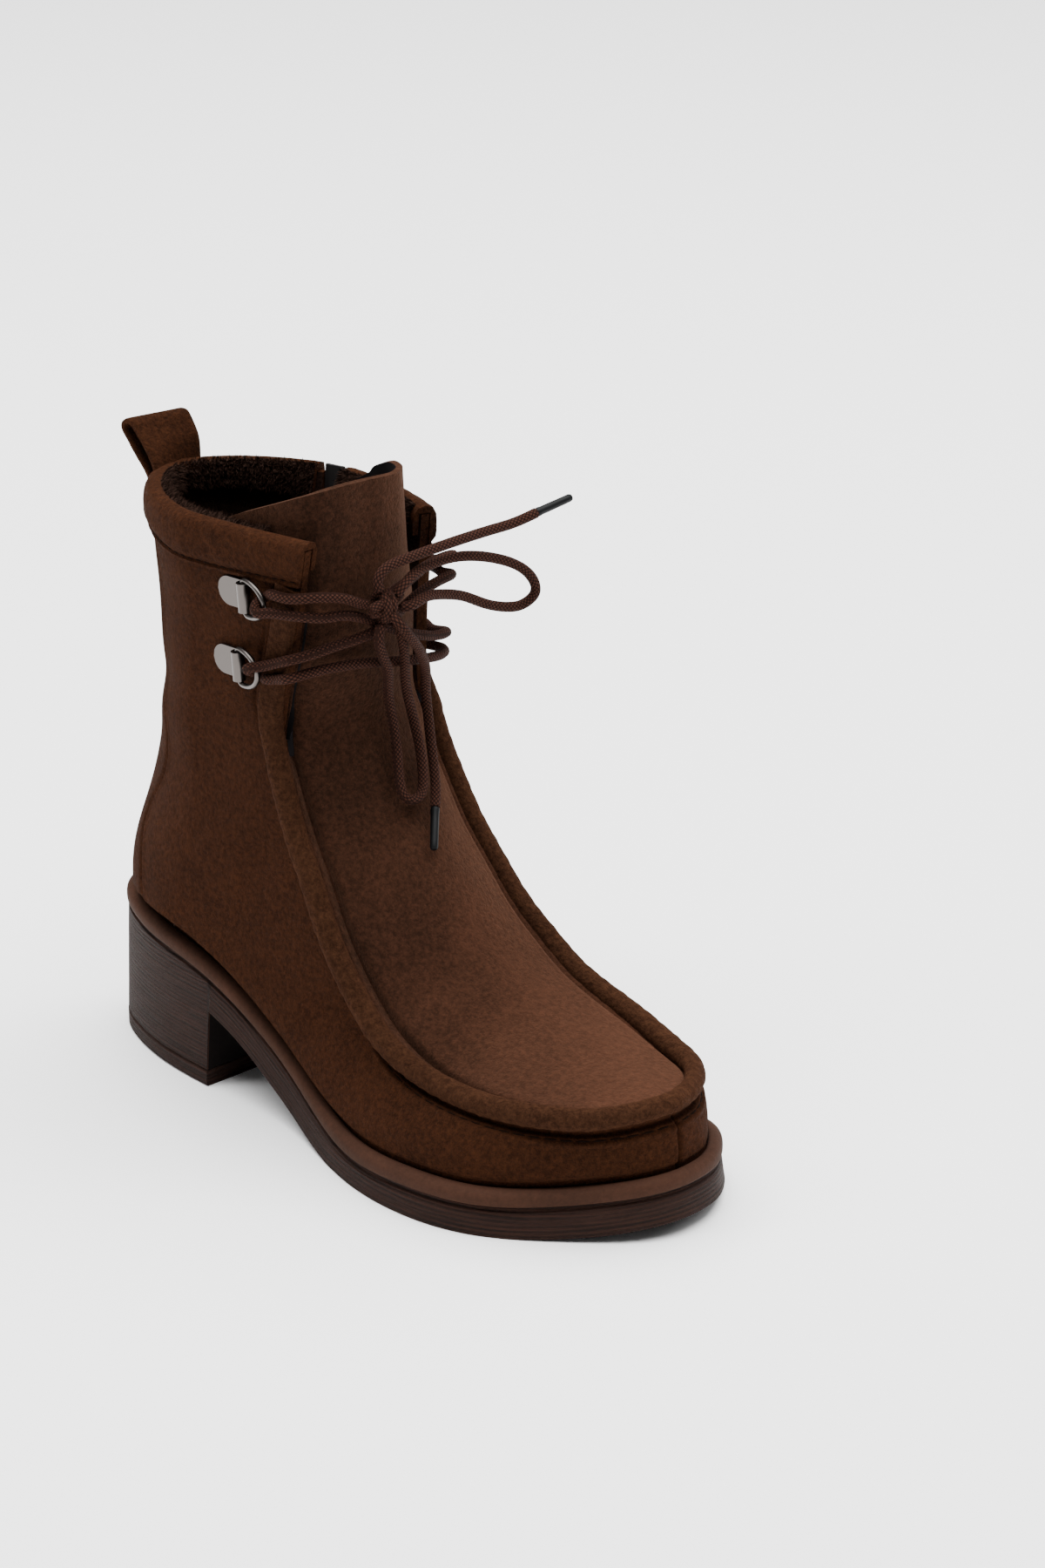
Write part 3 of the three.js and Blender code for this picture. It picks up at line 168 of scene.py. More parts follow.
# How far the wall may swell per millimetre above the welt, and the most that is held back
WELT_SWELL = 1.2
WELT_REACH = 8
# Rib numbers between which the flaps' flat strips turn into the rolled seam
STRIP_ENDS = (2.4, 3.6)
# Noise scales of the suede nap, per metre
NAP_CLOUDS = 38
NAP_FLECKS = 600
NAP_GRAIN = 1700
RIB_COLUMNS = "ox oy oz ix iy iz up foot ow iw wide power crown lean".split()
RIBS = (
    # The last's ribs from the collar down the front edge and round to the toe, in the shares of part sizes
    (0.488, 0.367, 1.227, 0.446, 0.286, 1.172, 1.000, 0, 0.393, 0.388, 0.50, 1.62, 0.102, 0),
    (0.469, 0.357, 1.086, 0.426, 0.316, 1.022, 0.859, 0, 0.378, 0.372, 0.50, 1.60, 0.102, 0),
    (0.447, 0.347, 0.935, 0.415, 0.327, 0.871, 0.723, 0, 0.357, 0.352, 0.50, 1.55, 0.102, 0),
    (0.420, 0.337, 0.766, 0.415, 0.327, 0.742, 0.576, 0, 0.342, 0.342, 0.50, 1.50, 0.112, 0),
    (0.430, 0.337, 0.652, 0.430, 0.327, 0.652, 0.421, 0, 0.339, 0.337, 0.50, 1.50, 0.122, 0),
    (0.455, 0.337, 0.557, 0.465, 0.327, 0.575, 0.260, 0, 0.342, 0.337, 0.50, 1.65, 0.133, 0),
    (0.478, 0.342, 0.506, 0.496, 0.327, 0.518, 0.119, 0, 0.347, 0.342, 0.47, 1.80, 0.133, 0),
    (0.499, 0.347, 0.451, 0.535, 0.327, 0.464, 0, 0, 0.352, 0.342, 0.42, 1.85, 0.133, 0),
    (0.535, 0.357, 0.374, 0.581, 0.327, 0.398, 0, 0.05, 0.362, 0.347, 0.40, 2, 0.122, 0),
    (0.583, 0.357, 0.286, 0.636, 0.327, 0.337, 0, 0.20, 0.378, 0.357, 0.45, 2, 0.112, 0),
    (0.630, 0.367, 0.236, 0.690, 0.316, 0.289, 0, 0.40, 0.418, 0.367, 0.45, 2, 0.102, 0),
    (0.702, 0.367, 0.192, 0.748, 0.316, 0.254, 0, 0.62, 0.510, 0.388, 0.40, 2, 0.082, 0),
    (0.791, 0.362, 0.183, 0.810, 0.311, 0.225, 0, 0.78, 0.500, 0.429, 0.40, 2, 0.071, 0),
    (0.872, 0.316, 0.187, 0.876, 0.281, 0.200, 0, 0.885, 0.383, 0.398, 0.40, 2, 0.051, 0.005),
    (0.924, 0.238, 0.181, 0.924, 0.230, 0.189, 0, 0.945, 0.260, 0.276, 0.40, 2, 0.031, 0.010),
    (0.959, 0.122, 0.180, 0.959, 0.122, 0.183, 0, 0.985, 0.128, 0.143, 0.40, 2, 0.010, 0.015),
    (0.973, 0, 0.181, 0.973, 0, 0.181, 0, 1, 0, 0, 0.40, 2, 0, 0.018),
)
LAST_RIB = len(RIBS) - 1
ZIP_LINE = (
    # up, along: the zip's centre line on the inner side
    (0.07, 0.252), (0.2, 0.240), (0.45, 0.232), (0.7, 0.234), (1, 0.238),
)
RINGS = (
    # name, side, x, z: where each lacing ring's fold lies on the wall
    ("outer_upper", Side.OUTER, 64.5, 182.5),
    ("outer_lower", Side.OUTER, 58.8, 157.5),
    ("inner_upper", Side.INNER, 55.5, 178.5),
    ("inner_lower", Side.INNER, 52.5, 153.5),
)


def show(thing: bpy.types.Object) -> None:
    """Puts an object into the scene."""
    bpy.context.scene.collection.objects.link(thing)


def unit(vectors: Array) -> Array:
    """Vectors divided by their own length."""
    return vectors / np.maximum(np.linalg.norm(vectors, axis=-1, keepdims=True), 1e-12)


def joined(*parts: Array) -> Array:
    """Arrays, broadcast to one shape, side by side along a new last axis."""
    return np.stack(np.broadcast_arrays(*parts), axis=-1)


def full_turn(count: int) -> Array:
    """Angles spread evenly round a circle."""
    return np.linspace(0, 2 * np.pi, count, endpoint=False)


def eased(share: Array) -> Array:
    """Half cosine (1 - cos(pi share)) / 2."""
    return (1 - np.cos(share * np.pi)) / 2


def faced(vectors: Array, towards: Array) -> Array:
    """Vectors, each turned round where it points away from towards."""
    return np.where(((vectors * towards).sum(-1) < 0)[..., None], -vectors, vectors)


def square_to(vectors: Array, way: Array) -> Array:
    """Unit vectors square to the unit way, from vectors less their part along it."""
    return unit(vectors - way * (vectors * way).sum(-1, keepdims=True))


def smoothstep(x: Array, low: float, high: float) -> Array:
    """3t² - 2t³ of x's place t between low and high, held at 0 and 1 beyond them."""
    t = np.clip((np.asarray(x, float) - low) / (high - low), 0, 1)
    return t * t * (3 - 2 * t)


def mix(a: Array, b: Array, share: Array) -> Array:
    """Straight blend from a to b."""
    return a + (b - a) * share


def hump(x: Array, centre: float, width: float) -> Array:
    """Bell curve exp(-((x - centre) / width)²)."""
    return np.exp(-(((x - centre) / width) ** 2))


def ripple(s: Array, phase: float = 0.0) -> Array:
    """Uneven wave of unit size along a length in millimetres: three sines of unlike wavelengths."""
    return (
        0.5 * np.sin(s * 2 * np.pi / 7.3 + phase)
        + 0.3 * np.sin(s * 2 * np.pi / 4.1 + 2 * phase + 1)
        + 0.2 * np.sin(s * 2 * np.pi / 12.7 + 3 * phase + 2)
    )


class NaturalSpline:
    """Natural cubic spline through points, straight beyond its ends."""

    def __init__(self, xs: Sequence[float], ys: Sequence[float]) -> None:
        """Solves the second derivatives that make the slope continuous.

        Args:
            xs: rising places.
            ys: value at each place.
        """
        self.x, self.y = np.asarray(xs, float), np.asarray(ys, float)
        n = len(self.x)
        h, rise = np.diff(self.x), np.diff(self.y)
        system = np.eye(n)
        right = np.zeros(n)
        for i in range(1, n - 1):
            system[i, i - 1 : i + 2] = h[i - 1], 2 * (h[i - 1] + h[i]), h[i]
            right[i] = 6 * (rise[i] / h[i] - rise[i - 1] / h[i - 1])
        self.bend = np.linalg.solve(system, right)
        self.first = rise[0] / h[0] - h[0] * (2 * self.bend[0] + self.bend[1]) / 6
        self.last = rise[-1] / h[-1] + h[-1] * (self.bend[-2] + 2 * self.bend[-1]) / 6

    def __call__(self, x: Array) -> Array:
        """Value at x, an array of any shape."""
        x = np.asarray(x, float)
        i = np.clip(np.searchsorted(self.x, x) - 1, 0, len(self.x) - 2)
        h = self.x[i + 1] - self.x[i]
        a = (self.x[i + 1] - x) / h
        b = 1 - a
        curve = a * self.y[i] + b * self.y[i + 1]
        curve = curve + ((a**3 - a) * self.bend[i] + (b**3 - b) * self.bend[i + 1]) * h**2 / 6
        curve = np.where(x < self.x[0], self.y[0] + (x - self.x[0]) * self.first, curve)
        return np.where(x > self.x[-1], self.y[-1] + (x - self.x[-1]) * self.last, curve)


def column_spline(rows: Sequence[Sequence[float]], place: int, value: int) -> NaturalSpline:
    """Spline of one column of a table over another."""
    return NaturalSpline([row[place] for row in rows], [row[value] for row in rows])


class Last:
    """The foot form under the boot: sole outline, walls and apron as functions of two numbers."""

    def __init__(self, sizes: BootSizes) -> None:
        """Makes a spline of each column of the tables.

        Args:
            sizes: the boot's driving sizes.
        """
        self.s = sizes
        angles = np.arccos(1 - 2 * np.array([row[0] for row in SOLE_OUTLINE]))
        self.outer_half = NaturalSpline(angles, [row[1] for row in SOLE_OUTLINE])
        self.inner_half = NaturalSpline(angles, [row[2] for row in SOLE_OUTLINE])
        self.top = column_spline(SOLE_TOP, 0, 1)
        self.waist = column_spline(WAIST_UNDERSIDE, 0, 1)
        self.back = column_spline(BACK_LINE, 0, 1)
        self.zip_along = column_spline(ZIP_LINE, 0, 1)
        numbers = range(len(RIBS))
        self.curve = {
            name: NaturalSpline(numbers, [row[i] for row in RIBS]) for i, name in enumerate(RIB_COLUMNS)
        }
        self.pace = sizes.sole_length * EDGE_PACE
        up, foot = RIB_COLUMNS.index("up"), RIB_COLUMNS.index("foot")
        far = [
            np.arccos(1 - 2 * row[foot]) * self.pace if row[foot] > 0 else -row[up] * sizes.shaft_height
            for row in RIBS
        ]
        self.far_curve = NaturalSpline(numbers, far)
        self.feather_ring = self.outline(np.linspace(0, 2 * np.pi, 361)[:-1], sizes.feather)

    def x_at(self, share: Array) -> Array:
        """X of a share of the sole's length."""
        return share * self.s.sole_length - self.s.heel_centre

    def edge_point(self, angle: Array) -> Array:
        """Sole's edge at an angle: 0 is the back, pi the toe, the outer side first."""
        turn = np.mod(angle, 2 * np.pi)
        half = np.where(turn <= np.pi, -self.outer_half(turn), self.inner_half(2 * np.pi - turn))
        x = self.x_at((1 - np.cos(turn)) / 2)
        return joined(x, half * self.s.ball_width)

    def outline(self, angle: Array, inset: Array = 0.0) -> Array:
        """Sole's edge moved inwards along its own normal by inset."""
        angle = np.asarray(angle, float)
        tangent = unit(self.edge_point(angle + 1e-3) - self.edge_point(angle - 1e-3))
        normal = joined(-tangent[..., 1], tangent[..., 0])
        return self.edge_point(angle) + normal * np.asarray(inset, float)[..., None]

    def along(self, x: Array) -> Array:
        """Share of the sole's length at x."""
        return np.clip((x + self.s.heel_centre) / self.s.sole_length, 0, 1)

    def edge_height(self, x: Array) -> Array:
        """Height of the sole's top edge at x."""
        return self.top(self.along(x)) * self.s.seat_height

    def underside(self, x: Array) -> Array:
        """Height of the sole's underside at x, in front of the heel."""
        share = self.along(x)
        waist = np.maximum(0, self.waist(share)) * self.s.breast_height
        spring = np.maximum(0, share - SPRING_START) / (1 - SPRING_START)
        low = np.where(share < WAIST_UNDERSIDE[-1][0], waist, self.s.toe_spring * spring**2)
        return np.where(share <= WAIST_UNDERSIDE[0][0], self.s.breast_height, low)

    def far(self, rib: Array, side: Side) -> Array:
        """Lower or rear end of each rib: on the back's centre line, then along the sole's edge."""
        value = self.far_curve(rib)
        up = np.maximum(-value, 0)
        back_x = self.x_at(self.back(up / self.s.shaft_height))
        back = joined(back_x, 0, self.s.seat_height + up)
        turn = np.clip(value / self.pace, 0, np.pi)
        foot = self.outline(turn if side is Side.OUTER else 2 * np.pi - turn, self.s.feather)
        foot_y = np.where((turn <= 0) | (turn > np.pi - 1e-6), 0, foot[..., 1])
        rest = joined(foot[..., 0], foot_y, self.edge_height(foot[..., 0]) + self.s.seat_gap)
        return np.where((value < -1e-9)[..., None], back, rest)

    def seam(self, rib: Array, side: Side) -> Array:
        """Upper or front end of each rib: the flap's front edge, then the apron seam."""
        letter = "o" if side is Side.OUTER else "i"
        x = self.x_at(self.curve[letter + "x"](rib))
        y = side.value * np.maximum(0, self.curve[letter + "y"](rib)) * self.s.ball_width
        z = self.edge_height(x) + self.curve[letter + "z"](rib) * self.s.shaft_height
        return joined(x, y, z)

    def wall(self, rib: Array, reach: Array, side: Side) -> Array:
        """Outer face of the wall.

        From the far end (reach 0) to the seam (1) x and z run straight. The half width first swells as
        (1 - (1 - t)^p)^(1/p) and then draws in with the square of t.
        """
        rib, reach = np.broadcast_arrays(np.asarray(rib, float), np.asarray(reach, float))
        far, seam = self.far(rib, side), self.seam(rib, side)
        wide, power = self.curve["wide"](rib), self.curve["power"](rib)
        start, end = np.abs(far[..., 1]), np.abs(seam[..., 1])
        name = "ow" if side is Side.OUTER else "iw"
        most = np.maximum(start, np.maximum(0, self.curve[name](rib)) * self.s.ball_width)
        t = np.clip(reach / wide, 0, 1)
        swell = start + (most - start) * (1 - (1 - t) ** power) ** (1 / power)
        draw = most + (end - most) * (np.maximum(0, reach - wide) / (1 - wide)) ** 2
        point = far + (seam - far) * reach[..., None]
        point[..., 0] += np.maximum(0, self.curve["lean"](rib)) * self.s.sole_length * 2 * reach * (1 - reach)
        point[..., 1] = side.value * np.where(reach < wide, swell, draw)
        return self.kept_off_welt(point, (reach > 0) & (reach < 1))

    def kept_off_welt(self, point: Array, where: Array) -> Array:
        """Moves points low on the wall back to the feather edge, with room to swell above it."""
        foot = self.s.welt_height + self.s.seat_gap + 3 * self.s.gap
        allowed = np.maximum(0, point[..., 2] - self.edge_height(point[..., 0]) - foot) * WELT_SWELL
        near = where & (allowed <= WELT_REACH)
        if not near.any():
            return point
        here = point[near]
        start = self.feather_ring
        way = np.roll(start, -1, axis=0) - start
        offset = here[:, None, :2] - start[None]
        part = np.clip((offset * way).sum(-1) / (way**2).sum(-1), 0, 1)
        gap = offset - part[..., None] * way
        best = np.argmin((gap**2).sum(-1), axis=1)
        outward = unit(joined(way[best, 1], -way[best, 0]))
        over = (gap[np.arange(len(best)), best] * outward).sum(-1) - allowed[near]
        here[:, :2] -= outward * np.maximum(0, over)[:, None]
        point = point.copy()
        point[near] = here
        return point

    def apron(self, rib: Array, across: Array) -> Array:
        """Outer face of the apron: a straight line between the two seams plus a crown of 1 - across²."""
        rib, across = np.broadcast_arrays(np.asarray(rib, float), np.asarray(across, float))
        low, high = np.maximum(rib - 0.05, 0), np.minimum(rib + 0.05, LAST_RIB)
        way = sum(self.seam(high, s) - self.seam(low, s) for s in Side)
        up = unit(joined(-way[..., 2], 0, way[..., 0]))
        crown = np.maximum(0, self.curve["crown"](rib)) * self.s.ball_width * (1 - across**2)
        flat = mix(self.seam(rib, Side.OUTER), self.seam(rib, Side.INNER), ((1 + across) / 2)[..., None])
        return flat + up * crown[..., None]

    def wall_normal(self, rib: Array, reach: Array, side: Side) -> Array:
        """Unit normal of the wall, from differences, facing away from the foot."""
        rib, reach = np.broadcast_arrays(np.asarray(rib, float), np.asarray(reach, float))
        safe = np.clip(reach, 0.01, 0.98)
        step = 1e-3
        a = self.wall(rib + step, safe, side) - self.wall(rib - step, safe, side)
        b = self.wall(rib, safe + step, side) - self.wall(rib, safe - step, side)
        n = unit(np.cross(a, b))
        ahead = mix(-1 + safe * 1.2, 1.0, smoothstep(rib, 8, 13))
        out = joined(ahead, side.value, 0)
        return faced(n, out)

    def on_wall(self, x: Array, z: Array, side: Side, lift: Array = 0.0) -> Array:
        """Point of the wall at x and z, found by halving the rib number, moved out by lift."""
        x, z = np.broadcast_arrays(np.asarray(x, float), np.asarray(z, float))
        low, high = np.zeros(x.shape), np.full(x.shape, 9.0)
        for _ in range(36):
            rib = (low + high) / 2
            far, seam = self.far(rib, side), self.seam(rib, side)
            reach = (x - far[..., 0]) / (seam[..., 0] - far[..., 0])
            above = far[..., 2] + (seam[..., 2] - far[..., 2]) * reach > z
            low, high = np.where(above, rib, low), np.where(above, high, rib)
        normal = self.wall_normal(low, reach, side)
        return self.wall(low, reach, side) + normal * np.asarray(lift, float)[..., None]

    def reach_at(self, rib: Array, distance: float, side: Side) -> Array:
        """Reach of the wall's point that lies a distance in millimetres back from the seam."""
        tries = np.linspace(0, 0.4, 81)
        points = self.wall(np.asarray(rib)[:, None], 1 - tries[None], side)
        away = np.linalg.norm(points - points[:, :1], axis=-1)
        return np.array([1 - np.interp(distance, row, tries) for row in away])


@dataclass
class Patch:
    """Points, faces and UVs of one surface before it becomes part of a mesh.

    The last faces, as many as hidden says, take the piece's second material.
    """

    points: Array
    faces: list[tuple[int, ...]]
    uv: Array
    hidden: int = 0

    @staticmethod
    def grid(points: Array, uv: Array | None = None, around: bool = False, looped: bool = False,
             turned: bool = False) -> "Patch":
        """Quads over a grid of points.

        Args:
            points: array of rows by columns by 3.
            uv: array of rows by columns by 2; by default the row and column numbers.
            around: the last column joins the first.
            looped: the last row joins the first.
            turned: the faces are wound the other way round.

        Returns:
            The patch.
        """
        n, m = points.shape[:2]
        ids = np.arange(n * m).reshape(n, m)
        if around:
            ids = np.concatenate([ids, ids[:, :1]], axis=1)
        if looped:
            ids = np.concatenate([ids, ids[:1]], axis=0)
        quads = joined(ids[:-1, :-1], ids[1:, :-1], ids[1:, 1:], ids[:-1, 1:]).reshape(-1, 4)
        if turned:
            quads = quads[:, ::-1]
        if uv is None:
            uv = np.stack(np.meshgrid(np.arange(n), np.arange(m), indexing="ij"), axis=-1).astype(float)
        return Patch(points.reshape(-1, 3), [tuple(q) for q in quads.tolist()], uv.reshape(-1, 2))

    def capped(self, *rings: Sequence[int]) -> "Patch":
        """The patch with one more face over each ring of point numbers."""
        more = [tuple(int(i) for i in ring) for ring in rings]
        return Patch(self.points, self.faces + more, self.uv, self.hidden)


def thick_sheet(points: Array, normals: Array, thickness: float, uv: Array | None = None,
                kept: Array | None = None) -> Patch:
    """Closed sheet: the grid is its outer face, the inner face lies a thickness back along the normals.

    A rim face joins the two wherever a kept quad has no kept neighbour.

    Args:
        points: the outer face's grid.
        normals: unit normals of the outer face, on the side that shows.
        thickness: distance between the faces.
        uv: UVs of the grid.
        kept: which quads of the grid are there; all of them by default.

    Returns:
        The sheet as one patch.
    """
    n, m = points.shape[:2]
    kept = np.ones((n - 1, m - 1), dtype=bool) if kept is None else kept
    outer = Patch.grid(points, uv)
    ids = np.arange(n * m).reshape(n, m)
    corners = (ids[:-1, :-1], ids[1:, :-1], ids[1:, 1:], ids[:-1, 1:])
    quads = np.stack(corners, axis=-1)[kept]
    shift = n * m
    around = np.zeros((n + 1, m + 1), dtype=bool)
    around[1:-1, 1:-1] = kept
    rims = []
    for (a, b), (down, right) in zip(((0, 1), (1, 2), (2, 3), (3, 0)), ((0, -1), (1, 0), (0, 1), (-1, 0))):
        free = kept & ~around[1 + down : n + down, 1 + right : m + right]
        first, second = corners[a][free], corners[b][free]
        rims.append(joined(second, first, first + shift, second + shift))
    faces = np.concatenate([quads, *rims, quads[:, ::-1] + shift])
    inner = points - normals * thickness
    every = np.concatenate([outer.points, inner.reshape(-1, 3)])
    used = np.zeros(len(every), dtype=bool)
    used[faces] = True
    number = np.cumsum(used) - 1
    both = np.concatenate([outer.uv, outer.uv])
    return Patch(every[used], [tuple(f) for f in number[faces].tolist()], both[used], len(quads))


def grid_normals(points: Array, towards: Array) -> Array:
    """Unit normals of a grid from its row and column differences, turned to face a given way."""
    return faced(unit(np.cross(np.gradient(points, axis=0), np.gradient(points, axis=1))), towards)


def smoothed_curve(points: Array, spacing: float, closed: bool = False) -> Array:
    """Centripetal curve through points, sampled evenly: a spline of each coordinate over chord^0.5."""
    points = np.asarray(points, float)
    if closed:
        points = np.concatenate([points[-3:], points, points[:3]])
    knots = np.concatenate([[0], np.cumsum(np.linalg.norm(np.diff(points, axis=0), axis=1) ** 0.5)])
    curves = [NaturalSpline(knots, points[:, k]) for k in range(points.shape[1])]
    low, high = (knots[3], knots[-3]) if closed else (knots[0], knots[-1])
    fine = np.linspace(low, high, 40 * len(points))
    dense = joined(*[c(fine) for c in curves])
    length = np.concatenate([[0], np.cumsum(np.linalg.norm(np.diff(dense, axis=0), axis=1))])
    count = max(2, int(round(length[-1] / spacing)))
    even = np.interp(np.linspace(0, length[-1], count + 1), length, fine)
    result = joined(*[c(even) for c in curves])
    return result[:-1] if closed else result


def arc_length(path: Array) -> Array:
    """Length along a path at each of its points."""
    return np.concatenate([[0], np.cumsum(np.linalg.norm(np.diff(path, axis=0), axis=1))])


def carried_frames(path: Array, closed: bool = False) -> tuple[Array, Array]:
    """Two unit vectors square to the path at each point, carried along it without twist."""
    way = unit(np.roll(path, -1, axis=0) - np.roll(path, 1, axis=0)) if closed else unit(
        np.gradient(path, axis=0))
    first = np.zeros_like(path)
    guess = np.array([0.0, 0.0, 1.0]) if abs(way[0, 2]) < 0.9 else np.array([1.0, 0.0, 0.0])
    for i, direction in enumerate(way):
        guess = guess - direction * np.dot(guess, direction)
        guess = guess / np.linalg.norm(guess)
        first[i] = guess
    return first, np.cross(way, first)


def tube(path: Array, radius: Array | float, sides: int = 12, closed: bool = False) -> Patch:
    """Round tube: a circle carried along the path. U is the length along it and V the turn round it."""
    a, b = carried_frames(path, closed)
    turn = full_turn(sides)
    reach = np.broadcast_to(np.asarray(radius, float), (len(path),))[:, None, None]
    ring = a[:, None] * np.cos(turn)[None, :, None] + b[:, None] * np.sin(turn)[None, :, None]
    points = path[:, None] + ring * reach
    length = arc_length(path)
    uv = joined(length[:, None], (turn / (2 * np.pi))[None])
    patch = Patch.grid(points, uv, around=True, looped=closed, turned=True)
    if closed:
        return patch
    last = (len(path) - 1) * sides
    return patch.capped(range(sides), range(last + sides - 1, last - 1, -1))


class Workshop:
    """Turns patches into finished objects that ride on a body and stand for CAD nodes."""

    def __init__(self) -> None:
        """Starts with no pieces made."""
        self.made: list[bpy.types.Object] = []

    def piece(self, name: str, patches: Sequence[Patch], material: Material, slot: str,
              nodes: Sequence[str] = (), merge: bool = False, sharp: float = 50.0,
              reverse: Material | None = None) -> bpy.types.Object:
        """Writes patches as one mesh object.

        Args:
            name: the object's name.
            patches: surfaces in millimetres.
            material: its finish.
            slot: a material slot's name; not used.
            nodes: CAD nodes that it stands for.
            merge: joins points that coincide.
            sharp: edges over this angle, in degrees, stay sharp.
            reverse: finish of each patch's hidden faces.

        Returns:
            The object.
        """
        points, faces, uvs, backs, start = [], [], [], [], 0
        for patch in patches:
            points.append(patch.points)
            uvs.append(patch.uv)
            backs += [0] * (len(patch.faces) - patch.hidden) + [1] * patch.hidden
            faces += [tuple(i + start for i in face) for face in patch.faces]
            start += len(patch.points)
        mesh = bpy.data.meshes.new(name)
        mesh.from_pydata((np.concatenate(points) * METRE).tolist(), [], faces)
        loops = np.zeros(len(mesh.loops), dtype=np.int64)
        mesh.loops.foreach_get("vertex_index", loops)
        layer = mesh.uv_layers.new(name="length")
        layer.data.foreach_set("uv", np.concatenate(uvs)[loops].astype(np.float32).ravel())
        if reverse is not None:
            mesh.polygons.foreach_set("material_index", backs)
        if merge:
            self.merge_doubles(mesh)
        mesh.polygons.foreach_set("use_smooth", np.ones(len(mesh.polygons), dtype=bool))
        mesh.set_sharp_from_angle(angle=math.radians(sharp))
        mesh.materials.append(material)
        if reverse is not None:
            mesh.materials.append(reverse)
        mesh.update()
        obj = bpy.data.objects.new(name, mesh)
        show(obj)
        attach(obj, BODY)
        if nodes:
            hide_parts(*nodes)
        self.made.append(obj)
        LOG.info("%s: %d faces", name, len(mesh.polygons))
        return obj

    @staticmethod
    def merge_doubles(mesh: bpy.types.Mesh) -> None:
        """Joins coinciding points and turns the faces outwards."""
        work = bmesh.new()
        work.from_mesh(mesh)
        bmesh.ops.remove_doubles(work, verts=work.verts, dist=MERGE_DISTANCE)
        bmesh.ops.recalc_face_normals(work, faces=work.faces)
        work.to_mesh(mesh)
        work.free()


class NodeGraph:
    """A small hand for building shader node trees."""

    def __init__(self, tree: Tree) -> None:
        """Keeps the tree that nodes go into."""
        self.tree = tree

    def node(self, kind: str, **values: object) -> Node:
        """Adds a node; values name its properties, or its inputs by their first word with _ for a space."""
        made = self.tree.nodes.new(kind)
        for key, value in values.items():
            if hasattr(made, key):
                setattr(made, key, value)
            else:
                made.inputs[key.replace("_", " ")].default_value = value
        return made

    def link(self, source: Socket, target: Socket) -> None:
        """Joins two sockets."""
        self.tree.links.new(source, target)

    def maths(self, operation: str, a: object, b: object = 0.0, c: object = 0.0) -> Socket:
        """Result of a Math node whose inputs are sockets or numbers."""
        made = self.node("ShaderNodeMath", operation=operation)
        for socket, value in zip(made.inputs, (a, b, c)):
            if isinstance(value, Socket):
                self.link(value, socket)
            else:
                socket.default_value = value
        return made.outputs[0]

    def noise(self, vector: Socket, scale: float, detail: float, roughness: float) -> Socket:
        """Fac of a noise texture on a vector."""
        made = self.node("ShaderNodeTexNoise", Scale=scale, Detail=detail, Roughness=roughness)
        self.link(vector, made.inputs["Vector"])
        return made.outputs["Fac"]

    def ramp(self, value: Socket, low: float, high: float) -> Socket:
        """Value mapped from low..high to 0..1 and held there."""
        made = self.node("ShaderNodeMapRange", clamp=True)
        made.inputs["From Min"].default_value = low
        made.inputs["From Max"].default_value = high
        self.link(value, made.inputs["Value"])
        return made.outputs["Result"]

    def blend(self, share: Socket, dark: str, light: str) -> Socket:
        """Colour mixed by share from one to another, both written as six hex digits."""
        made = self.node("ShaderNodeMix", data_type="RGBA")
        self.link(share, made.inputs[0])
        for socket, colour in ((made.inputs[6], dark), (made.inputs[7], light)):
            socket.default_value = (*linear(colour), 1.0)
        return made.outputs[2]

    def effect(self, tree: Tree, vector: Socket, **inputs: float) -> Node:
        """Adds a node group fed with a vector; inputs name its other sockets."""
        made = self.node("ShaderNodeGroup")
        made.node_tree = tree
        self.link(vector, made.inputs["Vector"])
        for name, value in inputs.items():
            made.inputs[name].default_value = value
        return made

    def place(self) -> Socket:
        """Object coordinates, in metres."""
        return self.node("ShaderNodeTexCoord").outputs["Object"]

    def lengths(self) -> Socket:
        """The piece's own UVs, in millimetres or turns."""
        return self.node("ShaderNodeUVMap", uv_map="length").outputs[0]


def linear(hex_colour: str) -> Triple:
    """Linear RGB of a colour written as six hex digits."""
    channels = [int(hex_colour[i : i + 2], 16) / 255 for i in (0, 2, 4)]
    return tuple(c / 12.92 if c <= 0.04045 else ((c + 0.055) / 1.055) ** 2.4 for c in channels)


def effect_group(name: str, inputs: dict[str, float], outputs: Sequence[str],
                 fill: Callable[[NodeGraph, Node, Node], None]) -> Tree:
    """Makes a shader node group once and returns it.

    Args:
        name: the group's name.
        inputs: float inputs with their defaults, besides a Vector.
        outputs: names of its float outputs.
        fill: adds the group's nodes between its input and output nodes.

    Returns:
        The group.
    """
    if name in bpy.data.node_groups:
        return bpy.data.node_groups[name]
    group = bpy.data.node_groups.new(name, "ShaderNodeTree")
    group.interface.new_socket("Vector", in_out="INPUT", socket_type="NodeSocketVector")
    for label, default in inputs.items():
        socket = group.interface.new_socket(label, in_out="INPUT", socket_type="NodeSocketFloat")
        socket.default_value = default
    for label in outputs:
        group.interface.new_socket(label, in_out="OUTPUT", socket_type="NodeSocketFloat")
    graph = NodeGraph(group)
    fill(graph, graph.node("NodeGroupInput"), graph.node("NodeGroupOutput"))
    return group


